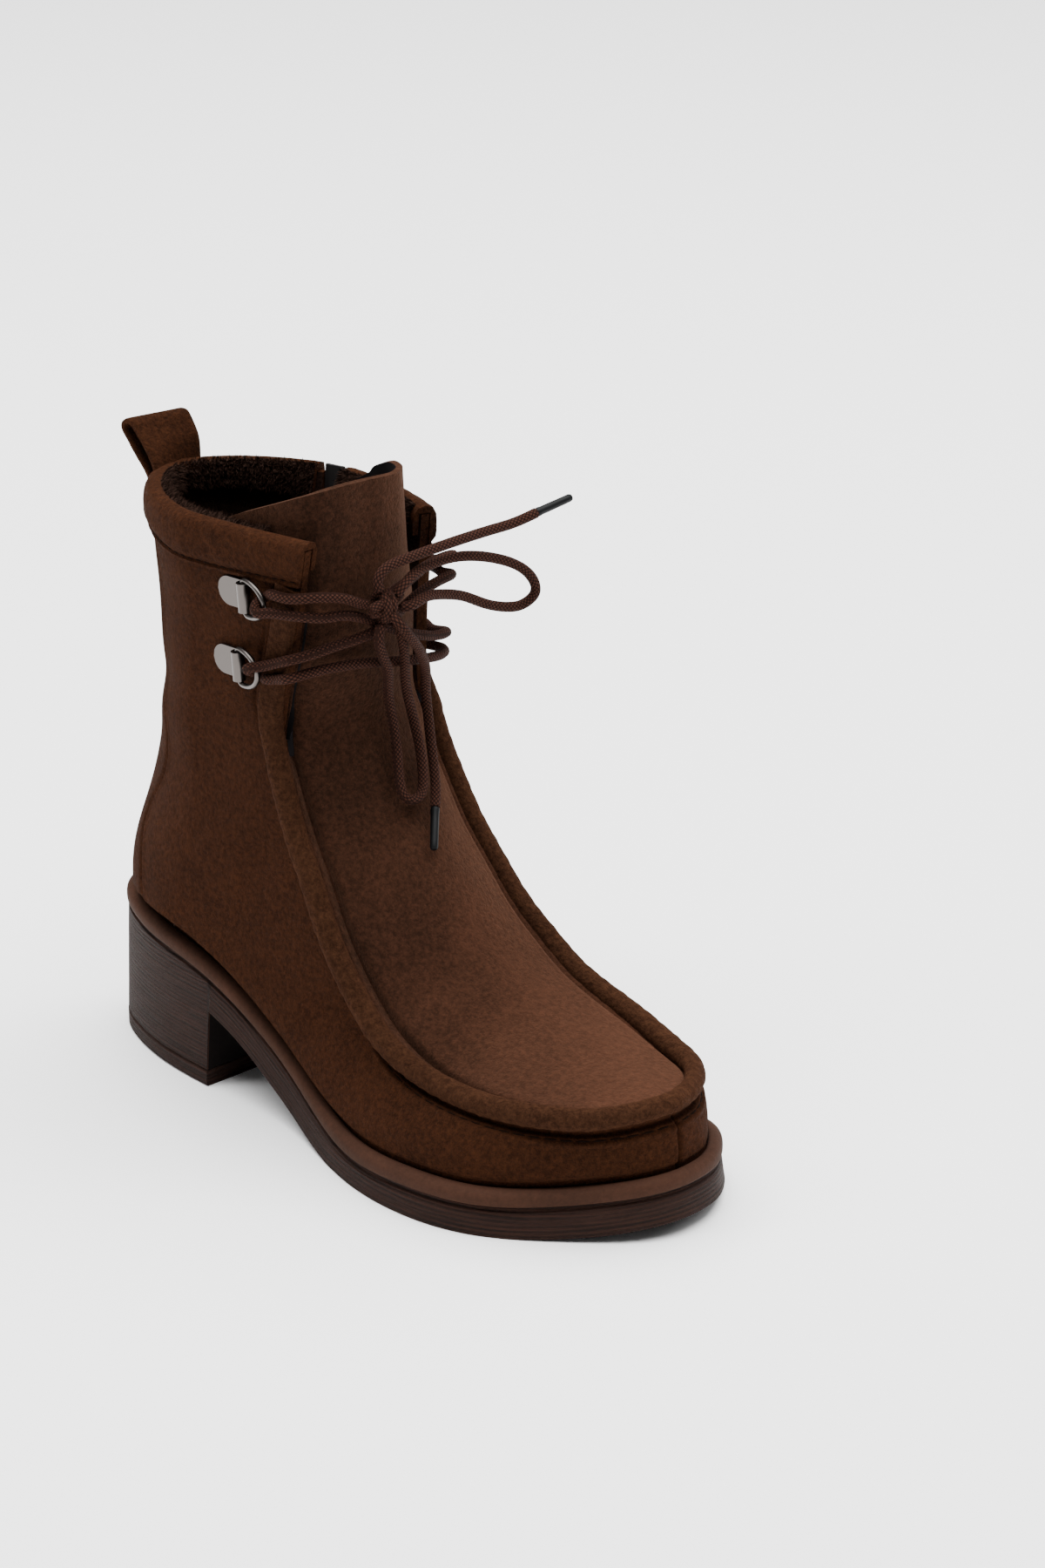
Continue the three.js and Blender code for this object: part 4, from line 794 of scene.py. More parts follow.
def nap_effect() -> Tree:
    """Brushed nap: wide clouds, small flecks and fine grain."""

    def fill(graph: NodeGraph, given: Node, result: Node) -> None:
        """Three noises of falling size, mixed by weight."""
        vector = given.outputs["Vector"]
        clouds = graph.ramp(graph.noise(vector, NAP_CLOUDS, 3, 0.6), 0.3, 0.72)
        flecks = graph.ramp(graph.noise(vector, NAP_FLECKS, 4, 0.75), 0.36, 0.64)
        grain = graph.noise(vector, NAP_GRAIN, 3, 0.75)
        tone = graph.maths("ADD", graph.maths("MULTIPLY", clouds, given.outputs["Clouds"]),
                           graph.maths("MULTIPLY", flecks, given.outputs["Flecks"]))
        graph.link(graph.maths("ADD", tone, graph.maths("MULTIPLY", grain, 0.18)), result.inputs["Tone"])
        height = graph.maths("ADD", graph.maths("MULTIPLY", grain, 0.5), graph.maths("MULTIPLY", flecks, 0.7))
        graph.link(height, result.inputs["Height"])

    return effect_group("brushed_nap", {"Clouds": 0.45, "Flecks": 0.4}, ("Tone", "Height"), fill)


def braid_effect() -> Tree:
    """Round braid: two families of slanting strands that cross, on U in mm and V in turns."""

    def fill(graph: NodeGraph, given: Node, result: Node) -> None:
        """Product of |sin| along two slanting families of strands."""
        split = graph.node("ShaderNodeSeparateXYZ")
        graph.link(given.outputs["Vector"], split.inputs[0])
        along = graph.maths("MULTIPLY", split.outputs[0], given.outputs["Pitch"])
        around = graph.maths("MULTIPLY", split.outputs[1], given.outputs["Strands"])
        waves = [
            graph.maths("ABSOLUTE", graph.maths("SINE", graph.maths(
                "MULTIPLY", graph.maths(slant, along, around), math.pi)))
            for slant in ("ADD", "SUBTRACT")
        ]
        graph.link(graph.maths("MULTIPLY", *waves), result.inputs["Strand"])

    return effect_group("round_braid", {"Pitch": 0.62, "Strands": 8.0}, ("Strand",), fill)


def tread_effect() -> Tree:
    """Drawn lines along a sole's side, on U in mm along it and V in mm up it."""

    def fill(graph: NodeGraph, given: Node, result: Node) -> None:
        """Noise stretched along the edge, with faint regular rows."""
        stretch = graph.node("ShaderNodeMapping", vector_type="POINT")
        stretch.inputs["Scale"].default_value = (0.035, 1.0, 1.0)
        graph.link(given.outputs["Vector"], stretch.inputs["Vector"])
        lines = graph.noise(stretch.outputs[0], 1.0, 4, 0.8)
        split = graph.node("ShaderNodeSeparateXYZ")
        graph.link(given.outputs["Vector"], split.inputs[0])
        rows = graph.maths("SINE", graph.maths("MULTIPLY", split.outputs[1], 4.2))
        height = graph.maths("ADD", graph.maths("MULTIPLY", lines, 1.4), graph.maths("MULTIPLY", rows, 0.12))
        graph.link(height, result.inputs["Height"])

    return effect_group("drawn_lines", {}, ("Height",), fill)


@dataclass(frozen=True)
class Finish:
    """A surface finish with one Principled shader and plain constants."""

    name: str
    colour: str
    roughness: float
    metallic: float = 0.0
    sheen: float = 0.0
    sheen_tint: str = "ffffff"
    specular: float = 0.5

    def start(self) -> tuple[Material, NodeGraph, Node]:
        """Makes the material with its constants set on the shader's own sockets."""
        material = bpy.data.materials.new(self.name)
        material.use_nodes = True
        graph = NodeGraph(material.node_tree)
        shader = material.node_tree.nodes["Principled BSDF"]
        constants = {
            "Base Color": (*linear(self.colour), 1.0),
            "Roughness": self.roughness,
            "Metallic": self.metallic,
            "Sheen Weight": self.sheen,
            "Sheen Tint": (*linear(self.sheen_tint), 1.0),
            "Specular IOR Level": self.specular,
        }
        for name, value in constants.items():
            shader.inputs[name].default_value = value
        return material, graph, shader

    def dressed(self, graph: NodeGraph, shader: Node, tone: Socket, light: str, height: Socket,
                distance: float) -> None:
        """Feeds the shader's colour and normal.

        Args:
            graph: the material's nodes.
            shader: its Principled shader.
            tone: 0 for the finish's own colour, 1 for the light one.
            light: the light colour.
            height: the bump's height in 0..1.
            distance: its depth in millimetres.
        """
        graph.link(graph.blend(tone, self.colour, light), shader.inputs["Base Color"])
        bump = graph.node("ShaderNodeBump", Strength=1.0, Distance=distance * METRE)
        graph.link(height, bump.inputs["Height"])
        graph.link(bump.outputs[0], shader.inputs["Normal"])

    def make(self) -> Material:
        """A plain finish with a little unevenness in its gloss."""
        material, graph, shader = self.start()
        cloud = graph.noise(graph.place(), 160, 4, 0.6)
        rough = graph.node("ShaderNodeMapRange")
        rough.inputs["To Min"].default_value = self.roughness * 0.8
        rough.inputs["To Max"].default_value = min(1.0, self.roughness * 1.25)
        graph.link(cloud, rough.inputs["Value"])
        graph.link(rough.outputs[0], shader.inputs["Roughness"])
        return material


@dataclass(frozen=True)
class Suede(Finish):
    """Suede with a short nap: dark where brushed one way, light where brushed the other."""

    light: str = "6b4026"
    clouds: float = 0.45
    flecks: float = 0.4
    grain_depth: float = 0.45
    painted_toe_highlight: float = 0.0

    def make(self) -> Material:
        """Tone from the nap effect plus, if set, a painted highlight rising towards the toe over painted
        shade nearer the tongue; grain as a bump.
        """
        material, graph, shader = self.start()
        nap = graph.effect(nap_effect(), graph.place(), Clouds=self.clouds, Flecks=self.flecks)
        tone = nap.outputs["Tone"]
        # Painted light: the tone rises from the tongue to the toe, a painted highlight where the toe faces
        # the top light and painted shade nearer the tongue.
        if self.painted_toe_highlight:
            split = graph.node("ShaderNodeSeparateXYZ")
            graph.link(graph.place(), split.inputs[0])
            across = graph.maths("MULTIPLY_ADD", split.outputs[1], 0.9, split.outputs[0])
            toe = graph.ramp(across, 0.07, 0.19)
            tone = graph.maths("ADD", tone, graph.maths("MULTIPLY_ADD", toe, self.painted_toe_highlight, -self.painted_toe_highlight / 2))
        self.dressed(graph, shader, tone, self.light, nap.outputs["Height"], self.grain_depth)
        return material


@dataclass(frozen=True)
class Braid(Finish):
    """Braided cord, with painted shade between its strands."""

    light: str = "6b4a3c"
    pitch: float = 0.62
    strands: float = 8.0
    depth: float = 0.28

    def make(self) -> Material:
        """Strands from the braid effect on the piece's own UVs; the finish's own colour is painted shade
        between the strands, the light colour is the cord's own on their tops.
        """
        material, graph, shader = self.start()
        braid = graph.effect(braid_effect(), graph.lengths(), Pitch=self.pitch, Strands=self.strands)
        strand = braid.outputs["Strand"]
        self.dressed(graph, shader, strand, self.light, strand, self.depth)
        return material


@dataclass(frozen=True)
class SoleSide(Finish):
    """Rubber with drawn lines along its side."""

    light: str = "4b3530"
    depth: float = 0.25

    def make(self) -> Material:
        """Lines as a bump and a slight change of tone, on the piece's own UVs."""
        material, graph, shader = self.start()
        height = graph.effect(tread_effect(), graph.lengths()).outputs["Height"]
        self.dressed(graph, shader, graph.ramp(height, 0.45, 0.95), self.light, height, self.depth)
        return material


class Palette:
    """Every finish of the boot, each made once."""

    def __init__(self) -> None:
        """Makes the materials."""
        tint = "a0664a"
        suede = {"roughness": 0.95, "specular": 0.03}
        self.wall = Suede("suede_wall", "160a05", **suede, sheen=0.07, sheen_tint=tint, light="331c0f",
                          clouds=0.25, flecks=0.7).make()
        # The apron's suede is lighter than the wall's, partly for a different nap and partly as painted
        # highlight on its top-lit face; towards the toe it gets a further painted highlight.
        self.apron = Suede("suede_apron", "1a0e08", **suede, sheen=0.2, sheen_tint="b98a70", light="42281c",
                           clouds=0.25, flecks=0.42, grain_depth=0.3, painted_toe_highlight=0.42).make()
        # The roll's suede is a lighter copy of the wall's: a painted highlight for the light its nap catches.
        self.roll = Suede("suede_roll_painted_highlight", "190c06", **suede, sheen=0.1, sheen_tint=tint, light="3a2417",
                          clouds=0.2, flecks=0.65).make()
        self.pile = Suede("dark_pile", "140c08", 1.0, sheen=0.25, sheen_tint="6a4a3c", specular=0.1,
                          light="36241c", grain_depth=0.8).make()
        self.reverse = Finish("tongue_reverse", "141112", 0.9, specular=0.1).make()
        self.sole = SoleSide("sole_side", "150b07", 0.7, specular=0.1, light="2e1b14", depth=0.8).make()
        self.welt = Suede("welt_rubber", "29180f", 0.85, specular=0.12, light="3b2419", clouds=0.5,
                          flecks=0.4, grain_depth=0.06).make()
        # Darker than the sole's side: partly the tread's own colour, and painted shade on the heel breast
        # under the arch, which lies among the underside's faces.
        self.tread_and_shade = Finish("tread_rubber_and_painted_shade", "0a0504", 0.8, specular=0.1).make()
        self.nickel = Finish("polished_nickel", "55504d", 0.3, metallic=1.0).make()
        self.gunmetal = Finish("gunmetal", "6a6663", 0.25, metallic=1.0).make()
        self.zip_black = Finish("zip_black", "120e0d", 0.6, specular=0.4).make()
        # The lace's first colour is painted shade between the strands; the light colour is the cord's own.
        self.lace = Braid("braided_lace", "090403", 0.85, sheen=0.08, sheen_tint="8a5a4a", specular=0.06,
                          light="40261d").make()
        self.aglet = Finish("aglet_slate", "050607", 0.5, specular=0.12).make()
        self.thread = Finish("dark_thread", "140a05", 0.9, specular=0.05).make()


@dataclass
class StitchRun:
    """A row of stitches: short rounded bars laid end to end along a line."""

    length: float
    space: float
    radius: float

    def patch(self, path: Array, normals: Array, lift: float) -> Patch:
        """Stitches along a path.

        Each stitch is a capsule: six hexagons along it at s from -1 to 1, their radius the square root
        of 1 - 0.9 s², sunk by half the radius times s⁴.

        Args:
            path: points of the line.
            normals: the surface's unit normal at each.
            lift: height of a stitch's middle over the line.

        Returns:
            All stitches as one patch.
        """
        length = arc_length(path)
        step = self.length + self.space
        starts = np.arange(0, max(length[-1] - self.length, 0.1), step)
        spots = np.linspace(-0.98, 0.98, 6)
        places = starts[:, None] + (spots[None] + 1) / 2 * self.length
        centre = joined(*[np.interp(places, length, path[:, k]) for k in range(3)])
        out = unit(joined(*[np.interp(places, length, normals[:, k]) for k in range(3)]))
        way = unit(np.gradient(centre, axis=1))
        across = np.cross(way, out)
        size = self.radius * np.sqrt(1 - spots**2 * 0.9)
        turn = full_turn(6)[:, None]
        sunk = (lift - self.radius * 0.5 * spots**4)[None, :, None, None]
        ring = across[:, :, None] * np.cos(turn) + out[:, :, None] * np.sin(turn)
        points = centre[:, :, None] + out[:, :, None] * sunk + ring * size[None, :, None, None]
        bar = Patch.grid(points[0], around=True).capped(range(5, -1, -1), range(30, 36))
        faces = [tuple(i + 36 * k for i in face) for k in range(len(starts)) for face in bar.faces]
        return Patch(points.reshape(-1, 3), faces, np.zeros((36 * len(starts), 2)))


@dataclass
class SubAssembly:
    """What every sub-assembly builds with."""

    last: Last
    palette: Palette
    shop: Workshop

    @property
    def s(self) -> BootSizes:
        """The boot's driving sizes."""
        return self.last.s


@dataclass
class SoleUnit(SubAssembly):
    """Outsole with its block heel, top lift and welt."""

    facets: int = 260

    def angles(self) -> Array:
        """Angles round the sole in pairs across it, with the heel breast's two lines among them."""
        s = self.s
        breast = np.arccos(1 - 2 * np.array([s.heel_length, s.heel_length + s.breast_slant]) / s.sole_length)
        half = np.linspace(0, np.pi, self.facets // 2 + 1)
        half = np.array([a for a in half if np.abs(a - breast).min() > np.pi / self.facets])
        outer = np.sort(np.concatenate([half, breast]))
        return np.concatenate([outer, 2 * np.pi - outer[1:-1][::-1]])

    def in_heel(self, x: Array) -> Array:
        """Whether x lies over the heel."""
        return self.last.along(x) <= self.s.heel_length / self.s.sole_length + 1e-6

    def side_rows(self, angles: Array, levels: Sequence[Triple],
                  low: Array, high: Array) -> tuple[Array, Array]:
        """Rows of a side wall.

        Args:
            angles: where round the sole.
            levels: rows of inset, share of the height and offset in mm.
            low: height of the wall's foot at each angle.
            high: height of its top at each angle.

        Returns:
            The points and their UVs, in mm along the edge and up it.
        """
        length = arc_length(self.last.edge_point(angles))
        rows, uvs = [], []
        for inset, share, offset in levels:
            plan = self.last.outline(angles, np.full(len(angles), inset))
            z = low + (high - low) * share + offset
            rows.append(np.concatenate([plan, z[:, None]], axis=1))
            uvs.append(joined(length, z - low))
        return np.stack(rows), np.stack(uvs)

    def outsole(self) -> None:
        """Side wall and underside; the underside joins the two edges straight across. Its faces, the heel
        breast among them, take the darker second finish as painted shade.
        """
        s = self.s
        angles = self.angles()
        x = self.last.edge_point(angles)[:, 0]
        low = np.where(self.in_heel(x), s.top_lift + s.gap, self.last.underside(x))
        high = self.last.edge_height(x)
        flare = -s.sole_flare
        levels = [(flare + 0.7, 0, 0), (flare + 0.15, 0, 0.15), (flare, 0, 0.7)]
        levels += [(flare * (1 - share), share, 0) for share in (0.25, 0.5, 0.75)]
        levels += [(0, 1, -2.0), (0.1, 1, -1.5), (s.edge_step, 1, -1.1), (s.edge_step, 1, 0)]
        rows, uv = self.side_rows(angles, levels, low, high)
        n = len(angles)
        patch = Patch.grid(rows, uv, around=True, turned=True)
        last_row = (len(levels) - 1) * n
        under = [(i, i + 1, n - i - 1, (n - i) % n) for i in range(n // 2)]
        upper = [tuple(last_row + k for k in quad[::-1]) for quad in under]
        closed = Patch(patch.points, patch.faces + [tuple(dict.fromkeys(q)) for q in upper + under], patch.uv,
                       len(under))
        # The underside's faces, the heel breast among them, take the darker finish as painted shade.
        self.shop.piece("sole_block_heel", [closed], self.palette.sole, "sole_rubber", ["outsole"],
                        merge=True, sharp=35, reverse=self.palette.tread_and_shade)

    def top_lift(self) -> None:
        """Top lift under the heel, with a rounded lower edge and a dark step over it."""
        s = self.s
        angles = self.angles()
        x = self.last.edge_point(angles)[:, 0]
        keep = angles[self.in_heel(x)]
        split = int(np.argmax(keep > np.pi))
        ring = np.concatenate([keep[split:], keep[:split]])
        low, high = np.zeros(len(ring)), np.full(len(ring), s.top_lift)
        flare = -s.sole_flare * 1.1
        levels = [(flare + 0.6, 0, 0), (flare, 0, 0.6), (flare, 1, -0.5), (flare + 0.5, 1, 0)]
        rows, uv = self.side_rows(ring, levels, low, high)
        n = len(ring)
        patch = Patch.grid(rows, uv, around=True, turned=True)
        closed = patch.capped(range(n), range(4 * n - 1, 3 * n - 1, -1))
        self.shop.piece("sole_top_lift", [closed], self.palette.sole, "sole_rubber", ["heel_top_lift"],
                        merge=True, sharp=35)

    def welt(self) -> None:
        """Welt: a soft rounded section carried round the sole's top edge."""
        s = self.s
        section = smoothed_curve(np.array([
            [s.edge_step + 0.1, 0.05], [-s.welt_proud * 0.5, s.welt_height * 0.06],
            [-s.welt_proud, s.welt_height * 0.2], [-s.welt_proud * 0.9, s.welt_height * 0.52],
            [-s.welt_proud * 0.1, s.welt_height * 0.72], [s.welt_width * 0.3, s.welt_height * 0.92],
            [s.welt_width * 0.75, s.welt_height],
            [s.welt_width, s.welt_height * 0.93], [s.welt_width, s.welt_height * 0.3],
            [s.welt_width * 0.8, 0.02]]), 0.7, closed=True)
        angles = np.linspace(0, 2 * np.pi, 361)[:-1]
        length = arc_length(self.last.edge_point(angles))
        plan = self.last.outline(angles[:, None], np.broadcast_to(section[None, :, 0], (360, len(section))))
        base = self.last.edge_height(plan[..., 0]) + s.gap
        points = np.concatenate([plan, (base + section[None, :, 1])[..., None]], axis=-1)
        uv = joined(length[:, None], np.arange(len(section))[None] * 0.7)
        patch = Patch.grid(points, uv, around=True, looped=True)
        self.shop.piece("sole_welt", [patch], self.palette.welt, "welt_rubber", ["welt"], merge=True)

    def build(self) -> None:
        """Makes all three."""
        self.outsole()
        self.top_lift()
        self.welt()


@dataclass(frozen=True)
class SoftFold:
    """A soft trough (negative depth) or ridge across the wall."""

    side: Side
    x: float
    z: float
    slope: float
    length: float
    width: float
    depth: float

    def height(self, points: Array) -> Array:
        """Bell curve across the fold's line times a bell curve along it."""
        angle = math.radians(self.slope)
        dx, dz = points[..., 0] - self.x, points[..., 2] - self.z
        along = dx * math.cos(angle) + dz * math.sin(angle)
        across = -dx * math.sin(angle) + dz * math.cos(angle)
        return self.depth * hump(along, 0, self.length) * hump(across, 0, self.width)


FOLDS = tuple(SoftFold(*row) for row in (
    # side, x, z, slope in degrees, length, width, depth
    (Side.OUTER, -2, 138, 8, 26, 7, -0.8),
    (Side.OUTER, 6, 126, 14, 30, 7, 0.7),
    (Side.OUTER, 26, 112, 30, 30, 9, -0.9),
    (Side.OUTER, 44, 92, 42, 26, 8, 0.7),
    (Side.OUTER, 62, 84, 62, 24, 7, -0.8),
    (Side.OUTER, 96, 44, 40, 20, 6, -0.5),
    (Side.OUTER, 20, 168, -10, 30, 14, -0.6),
    (Side.INNER, 0, 132, 8, 26, 8, -0.8),
    (Side.INNER, 58, 92, 50, 28, 8, -0.9),
    (Side.INNER, 84, 66, 46, 24, 7, 0.6),
))


@dataclass
class Upper(SubAssembly):
    """Walls, the rolled seam along their upper edge and the strips up the flaps' front edges."""

    rows: int = 250
    columns: int = 145
    slot_from: float = 0.5
    slot_to: float = 0.5416667
    rib_pace: float = 22.0
    trench_depths: Pair = (1.7, 1.9)
    trench_widths: Pair = (0.9, 1.2)
    ledge_heights: Pair = (0.12, 0.6)
    stitch_place: float = 7.2
    stitch_depth: float = 0.45
    counter_depth: float = 1.3
    back_seam_depth: float = 0.45
    toe_seam_depth: float = 1.5
    seam_width: float = 0.7
    roll_sides: int = 32
    roll_sunk: Pair = (1.0, 2.2)
    roll_shift: Pair = (0.52, 0.16)
    tip_drop: float = 1.7
    tip_draw: float = 0.9
    tip_thinner: float = 0.4
    inner_draw: float = 1.7
    gather: float = 0.035
    pinch: float = 0.06
    pinch_pitch: float = 5.2
    uv_pace: Pair = (16, 120)

    def wall_relief(self, rib: Array, reach: Array, points: Array, side: Side) -> Array:
        """Height over the plain wall: the folds, the sunk stitch line with its ledge, and the seams."""
        relief = sum(f.height(points) for f in FOLDS if f.side is side)
        from_seam = np.linalg.norm(points - self.last.seam(rib, side), axis=-1)
        lower = smoothstep(rib, 1.2, 2.2)
        toe = smoothstep(rib, 8.5, 11)
        flat = smoothstep(rib, *STRIP_ENDS)
        beside = mix(mix(self.s.strip_width + 0.8, 5.5, flat), 5.0, toe)
        trench = mix(*self.trench_depths, toe) * hump(from_seam, beside, mix(*self.trench_widths, toe))
        trench = trench + 0.8 * (1 - flat) * hump(from_seam, beside + 3.4, self.seam_width)
        groove = self.stitch_depth * toe * hump(from_seam, self.stitch_place, 0.5)
        ledge = mix(*self.ledge_heights, toe) * hump(from_seam, mix(8.0, 8.6, toe), 1.0)
        relief = relief + lower * (ledge - trench - groove)
        back = np.abs(points[..., 1])
        behind = (points[..., 0] < 0) & (rib < 8)
        relief = relief + np.where(behind, -self.back_seam_depth * hump(back, 0, self.seam_width), 0)
        run = np.linalg.norm(self.last.seam(rib, side) - self.last.far(rib, side), axis=-1)
        line = 0.215 + 0.06 * hump(rib, 4.1, 0.8) - 0.05 * hump(rib, 5.2, 0.6)
        counter = smoothstep(rib, 0.8, 1.2) * smoothstep(rib, 7.6, 7.0)
        off = (reach - line) * run
        relief = relief - counter * (self.counter_depth * hump(off, 0, 1.2) - 0.3 * hump(off, 2.6, 1.1))
        front = smoothstep(rib, 14.6, 15.0) * smoothstep(reach, 0.92, 0.8)
        return relief - front * self.toe_seam_depth * hump(back, 0, self.seam_width)

    def wall_grid(self, side: Side) -> tuple[Array, Array, Array, Array]:
        """Points, normals, UVs and kept quads of one side's outer face."""
        rib = np.linspace(self.s.rim_rib, LAST_RIB, self.rows)
        part = np.linspace(0, 1, self.columns)
        kept = np.ones((self.rows - 1, self.columns - 1), dtype=bool)
        if side is Side.INNER:
            low = int(round(self.slot_from * (self.columns - 1)))
            high = int(round(self.slot_to * (self.columns - 1)))
            part = np.sort(np.append(np.delete(part, [low, high]), [self.slot_from, self.slot_to]))
            reach, above = self.slot_columns(rib, part)
            kept[:, low:high] = ~(above[:-1] & above[1:])[:, None]
        else:
            reach = mix(eased(part), part, 0.55)[None]
        rib = rib[:, None] + 0 * reach[:1]
        reach = reach + 0 * rib
        plain = self.last.wall(rib, reach, side)
        normal = self.last.wall_normal(rib, reach, side)
        foot = np.abs(plain[..., 2] - self.last.edge_height(plain[..., 0]) - self.s.seat_gap) < 0.05
        normal[foot, 2] = 0
        normal[0, :, 2] = 0
        normal = unit(normal)
        points = plain + normal * self.wall_relief(rib, reach, plain, side)[..., None]
        points[:, 0, 1] = np.where(self.last.far_curve(rib[:, 0]) <= 0, 0, points[:, 0, 1])
        points[-1, :, 1] = 0
        return points, normal, joined(rib * self.uv_pace[0], reach * self.uv_pace[1]), kept

    def slot_columns(self, rib: Array, part: Array) -> tuple[Array, Array]:
        """Reach of each column of the inner wall, with a few of them along the zip's slot.

        The columns between the slot's edges are spread evenly over it, and the rest over what is left on
        either side. Below the slot's foot the same columns run on.

        Args:
            rib: rib number of each row.
            part: share of the columns, from 0 at the far end to 1 at the seam.

        Returns:
            The reaches and, for each row, whether it lies above the slot's foot.
        """
        s, last = self.s, self.last
        far, seam = last.far(rib, Side.INNER), last.seam(rib, Side.INNER)
        run = seam[:, 0] - far[:, 0]
        up = (far[:, 2] - s.seat_height) / s.shaft_height
        for _ in range(6):
            x = last.x_at(last.zip_along(up))
            z = far[:, 2] + (seam[:, 2] - far[:, 2]) * (x - far[:, 0]) / run
            up = (z - s.seat_height) / s.shaft_height
        x = last.x_at(last.zip_along(np.clip(up, 0, 1)))
        middle = (x - far[:, 0]) / run
        half = s.zip_slot / 2 / run
        knots = joined(0, middle - half, middle + half, 1)
        stops = [0, self.slot_from, self.slot_to, 1]
        free = smoothstep(rib, 7.5, 10)[:, None]
        reach = np.stack([np.interp(part, stops, row) for row in knots])
        return mix(reach, part[None] + 0 * reach, free), (up >= ZIP_LINE[0][0]) & (rib < 8)

    def walls(self) -> None:
        """Both walls, each a closed sheet of the real thickness, the inner one with the zip's slot."""
        for side, name in ((Side.OUTER, "upper_wall_outer"), (Side.INNER, "upper_wall_inner")):
            points, normal, uv, kept = self.wall_grid(side)
            patch = thick_sheet(points, normal, self.s.wall, uv, kept)
            self.shop.piece(name, [patch], self.palette.wall, "suede", ["upper"], merge=True,
                            reverse=self.palette.pile)

    def roll_frame(self, rib: Array, side: Side) -> dict[str, Array]:
        """Centre, directions and sizes of the rolled seam's section at each rib number."""
        s, last = self.s, self.last
        flat = smoothstep(rib, *STRIP_ENDS)[:, None]
        step = 0.02
        way = last.seam(np.minimum(rib + step, LAST_RIB), side) - last.seam(np.maximum(rib - step, 0), side)
        way[rib > LAST_RIB - step] = (0, -side.value, 0)
        way = unit(way)
        back = square_to(last.wall(rib, 0.93 + 0 * rib, side) - last.seam(rib, side), way)
        apron_way = last.apron(rib, side.value * 0.8 + 0 * rib) - last.seam(rib, side)
        apron_way[rib > LAST_RIB - 0.6] = (-1, 0, 0.1)
        apron_way = square_to(apron_way, way)
        towards = np.array([0.4, side.value, 0.3])
        wall_out = faced(unit(np.cross(back, way)), towards)
        out = unit(mix(wall_out, -unit(back + apron_way), flat * 0.75))
        along = faced(unit(np.cross(out, way)), back)
        tip = smoothstep(rib, 12.6, 15.0)[:, None]
        proud = mix(s.strip_proud, s.roll_proud, flat) - self.tip_drop * tip
        sunk = mix(*self.roll_sunk, flat)
        strip_shift, roll_shift = self.roll_shift
        shift = mix(s.strip_width * strip_shift, s.roll_width * roll_shift, flat) - self.tip_draw * tip
        if side is Side.INNER:
            shift = shift - self.inner_draw * hump(rib, 13.2, 1.5)[:, None]
        centre = last.seam(rib, side) + along * shift + out * (proud - sunk) / 2
        return {"centre": centre, "along": along, "out": out, "flat": flat,
                "half": mix(s.strip_width, s.roll_width, flat) / 2 - self.tip_thinner * tip,
                "tall": (proud + sunk) / 2}

    def roll(self) -> None:
        """Roll: an ellipse carried along the seam, with uneven gathers, flattening to a strip."""
        s = self.s
        top = (s.band_height + 1.6) / self.rib_pace + 0.15
        rib = np.concatenate([np.linspace(top, 4, 70), np.linspace(4, LAST_RIB, 420)[1:]])
        turn = full_turn(self.roll_sides)
        sides = []
        for side in Side:
            f = self.roll_frame(rib, side)
            length = arc_length(f["centre"])[:, None]
            gather = 1 + self.gather * f["flat"] * ripple(length + 3 * np.sin(turn)[None], side.value)
            folds = np.abs(np.sin(length * np.pi / self.pinch_pitch)) * (np.cos(turn)[None] > 0.3)
            pinch = 1 - self.pinch * f["flat"] * folds
            power = mix(0.45, 1.0, f["flat"])
            a = np.sign(np.cos(turn)) * np.abs(np.cos(turn)) ** power * f["half"] * gather * pinch
            o = np.sign(np.sin(turn)) * np.abs(np.sin(turn)) ** power * f["tall"] * gather
            ring = f["along"][:, None] * a[..., None] + f["out"][:, None] * o[..., None]
            sides.append(f["centre"][:, None] + ring)
        rings = np.concatenate([sides[0], sides[1][:-1][::-1]])
        n, m = rings.shape[:2]
        patch = Patch.grid(rings, around=True).capped(range(m - 1, -1, -1), range((n - 1) * m, n * m))
        # Its finish is the wall's suede made lighter, a painted highlight along the roll.
        self.shop.piece("upper_rolled_seam", [patch], self.palette.roll, "suede", ["upper"], merge=True)

    def seam_stitches(self) -> None:
        """Thread in the sunk line under the roll and along the strips."""
        toe, leg = np.linspace(9.5, LAST_RIB - 0.02, 260), np.linspace(0.95, 3.4, 60)
        low, proud = StitchRun(4.2, 1.0, 0.3), StitchRun(2.6, 1.0, 0.26)
        runs = (
            # ribs, distance from the seam, stitches, height of their line, lift over it
            (toe, self.stitch_place, low, -self.stitch_depth, 0.1),
            (leg, 2.0, proud, 1.25, 0.05),
            (leg, 8.3, proud, 1.25, 0.05),
        )
        patches = []
        for side in Side:
            for rib, distance, stitches, height, lift in runs:
                reach = self.last.reach_at(rib, distance, side)
                normal = self.last.wall_normal(rib, reach, side)
                line = self.last.wall(rib, reach, side) + normal * height
                patches.append(stitches.patch(line, normal, lift))
        self.shop.piece("upper_seam_thread", patches, self.palette.thread, "suede")

    def build(self) -> None:
        """Makes the walls, roll and thread."""
        self.walls()
        self.roll()
        self.seam_stitches()


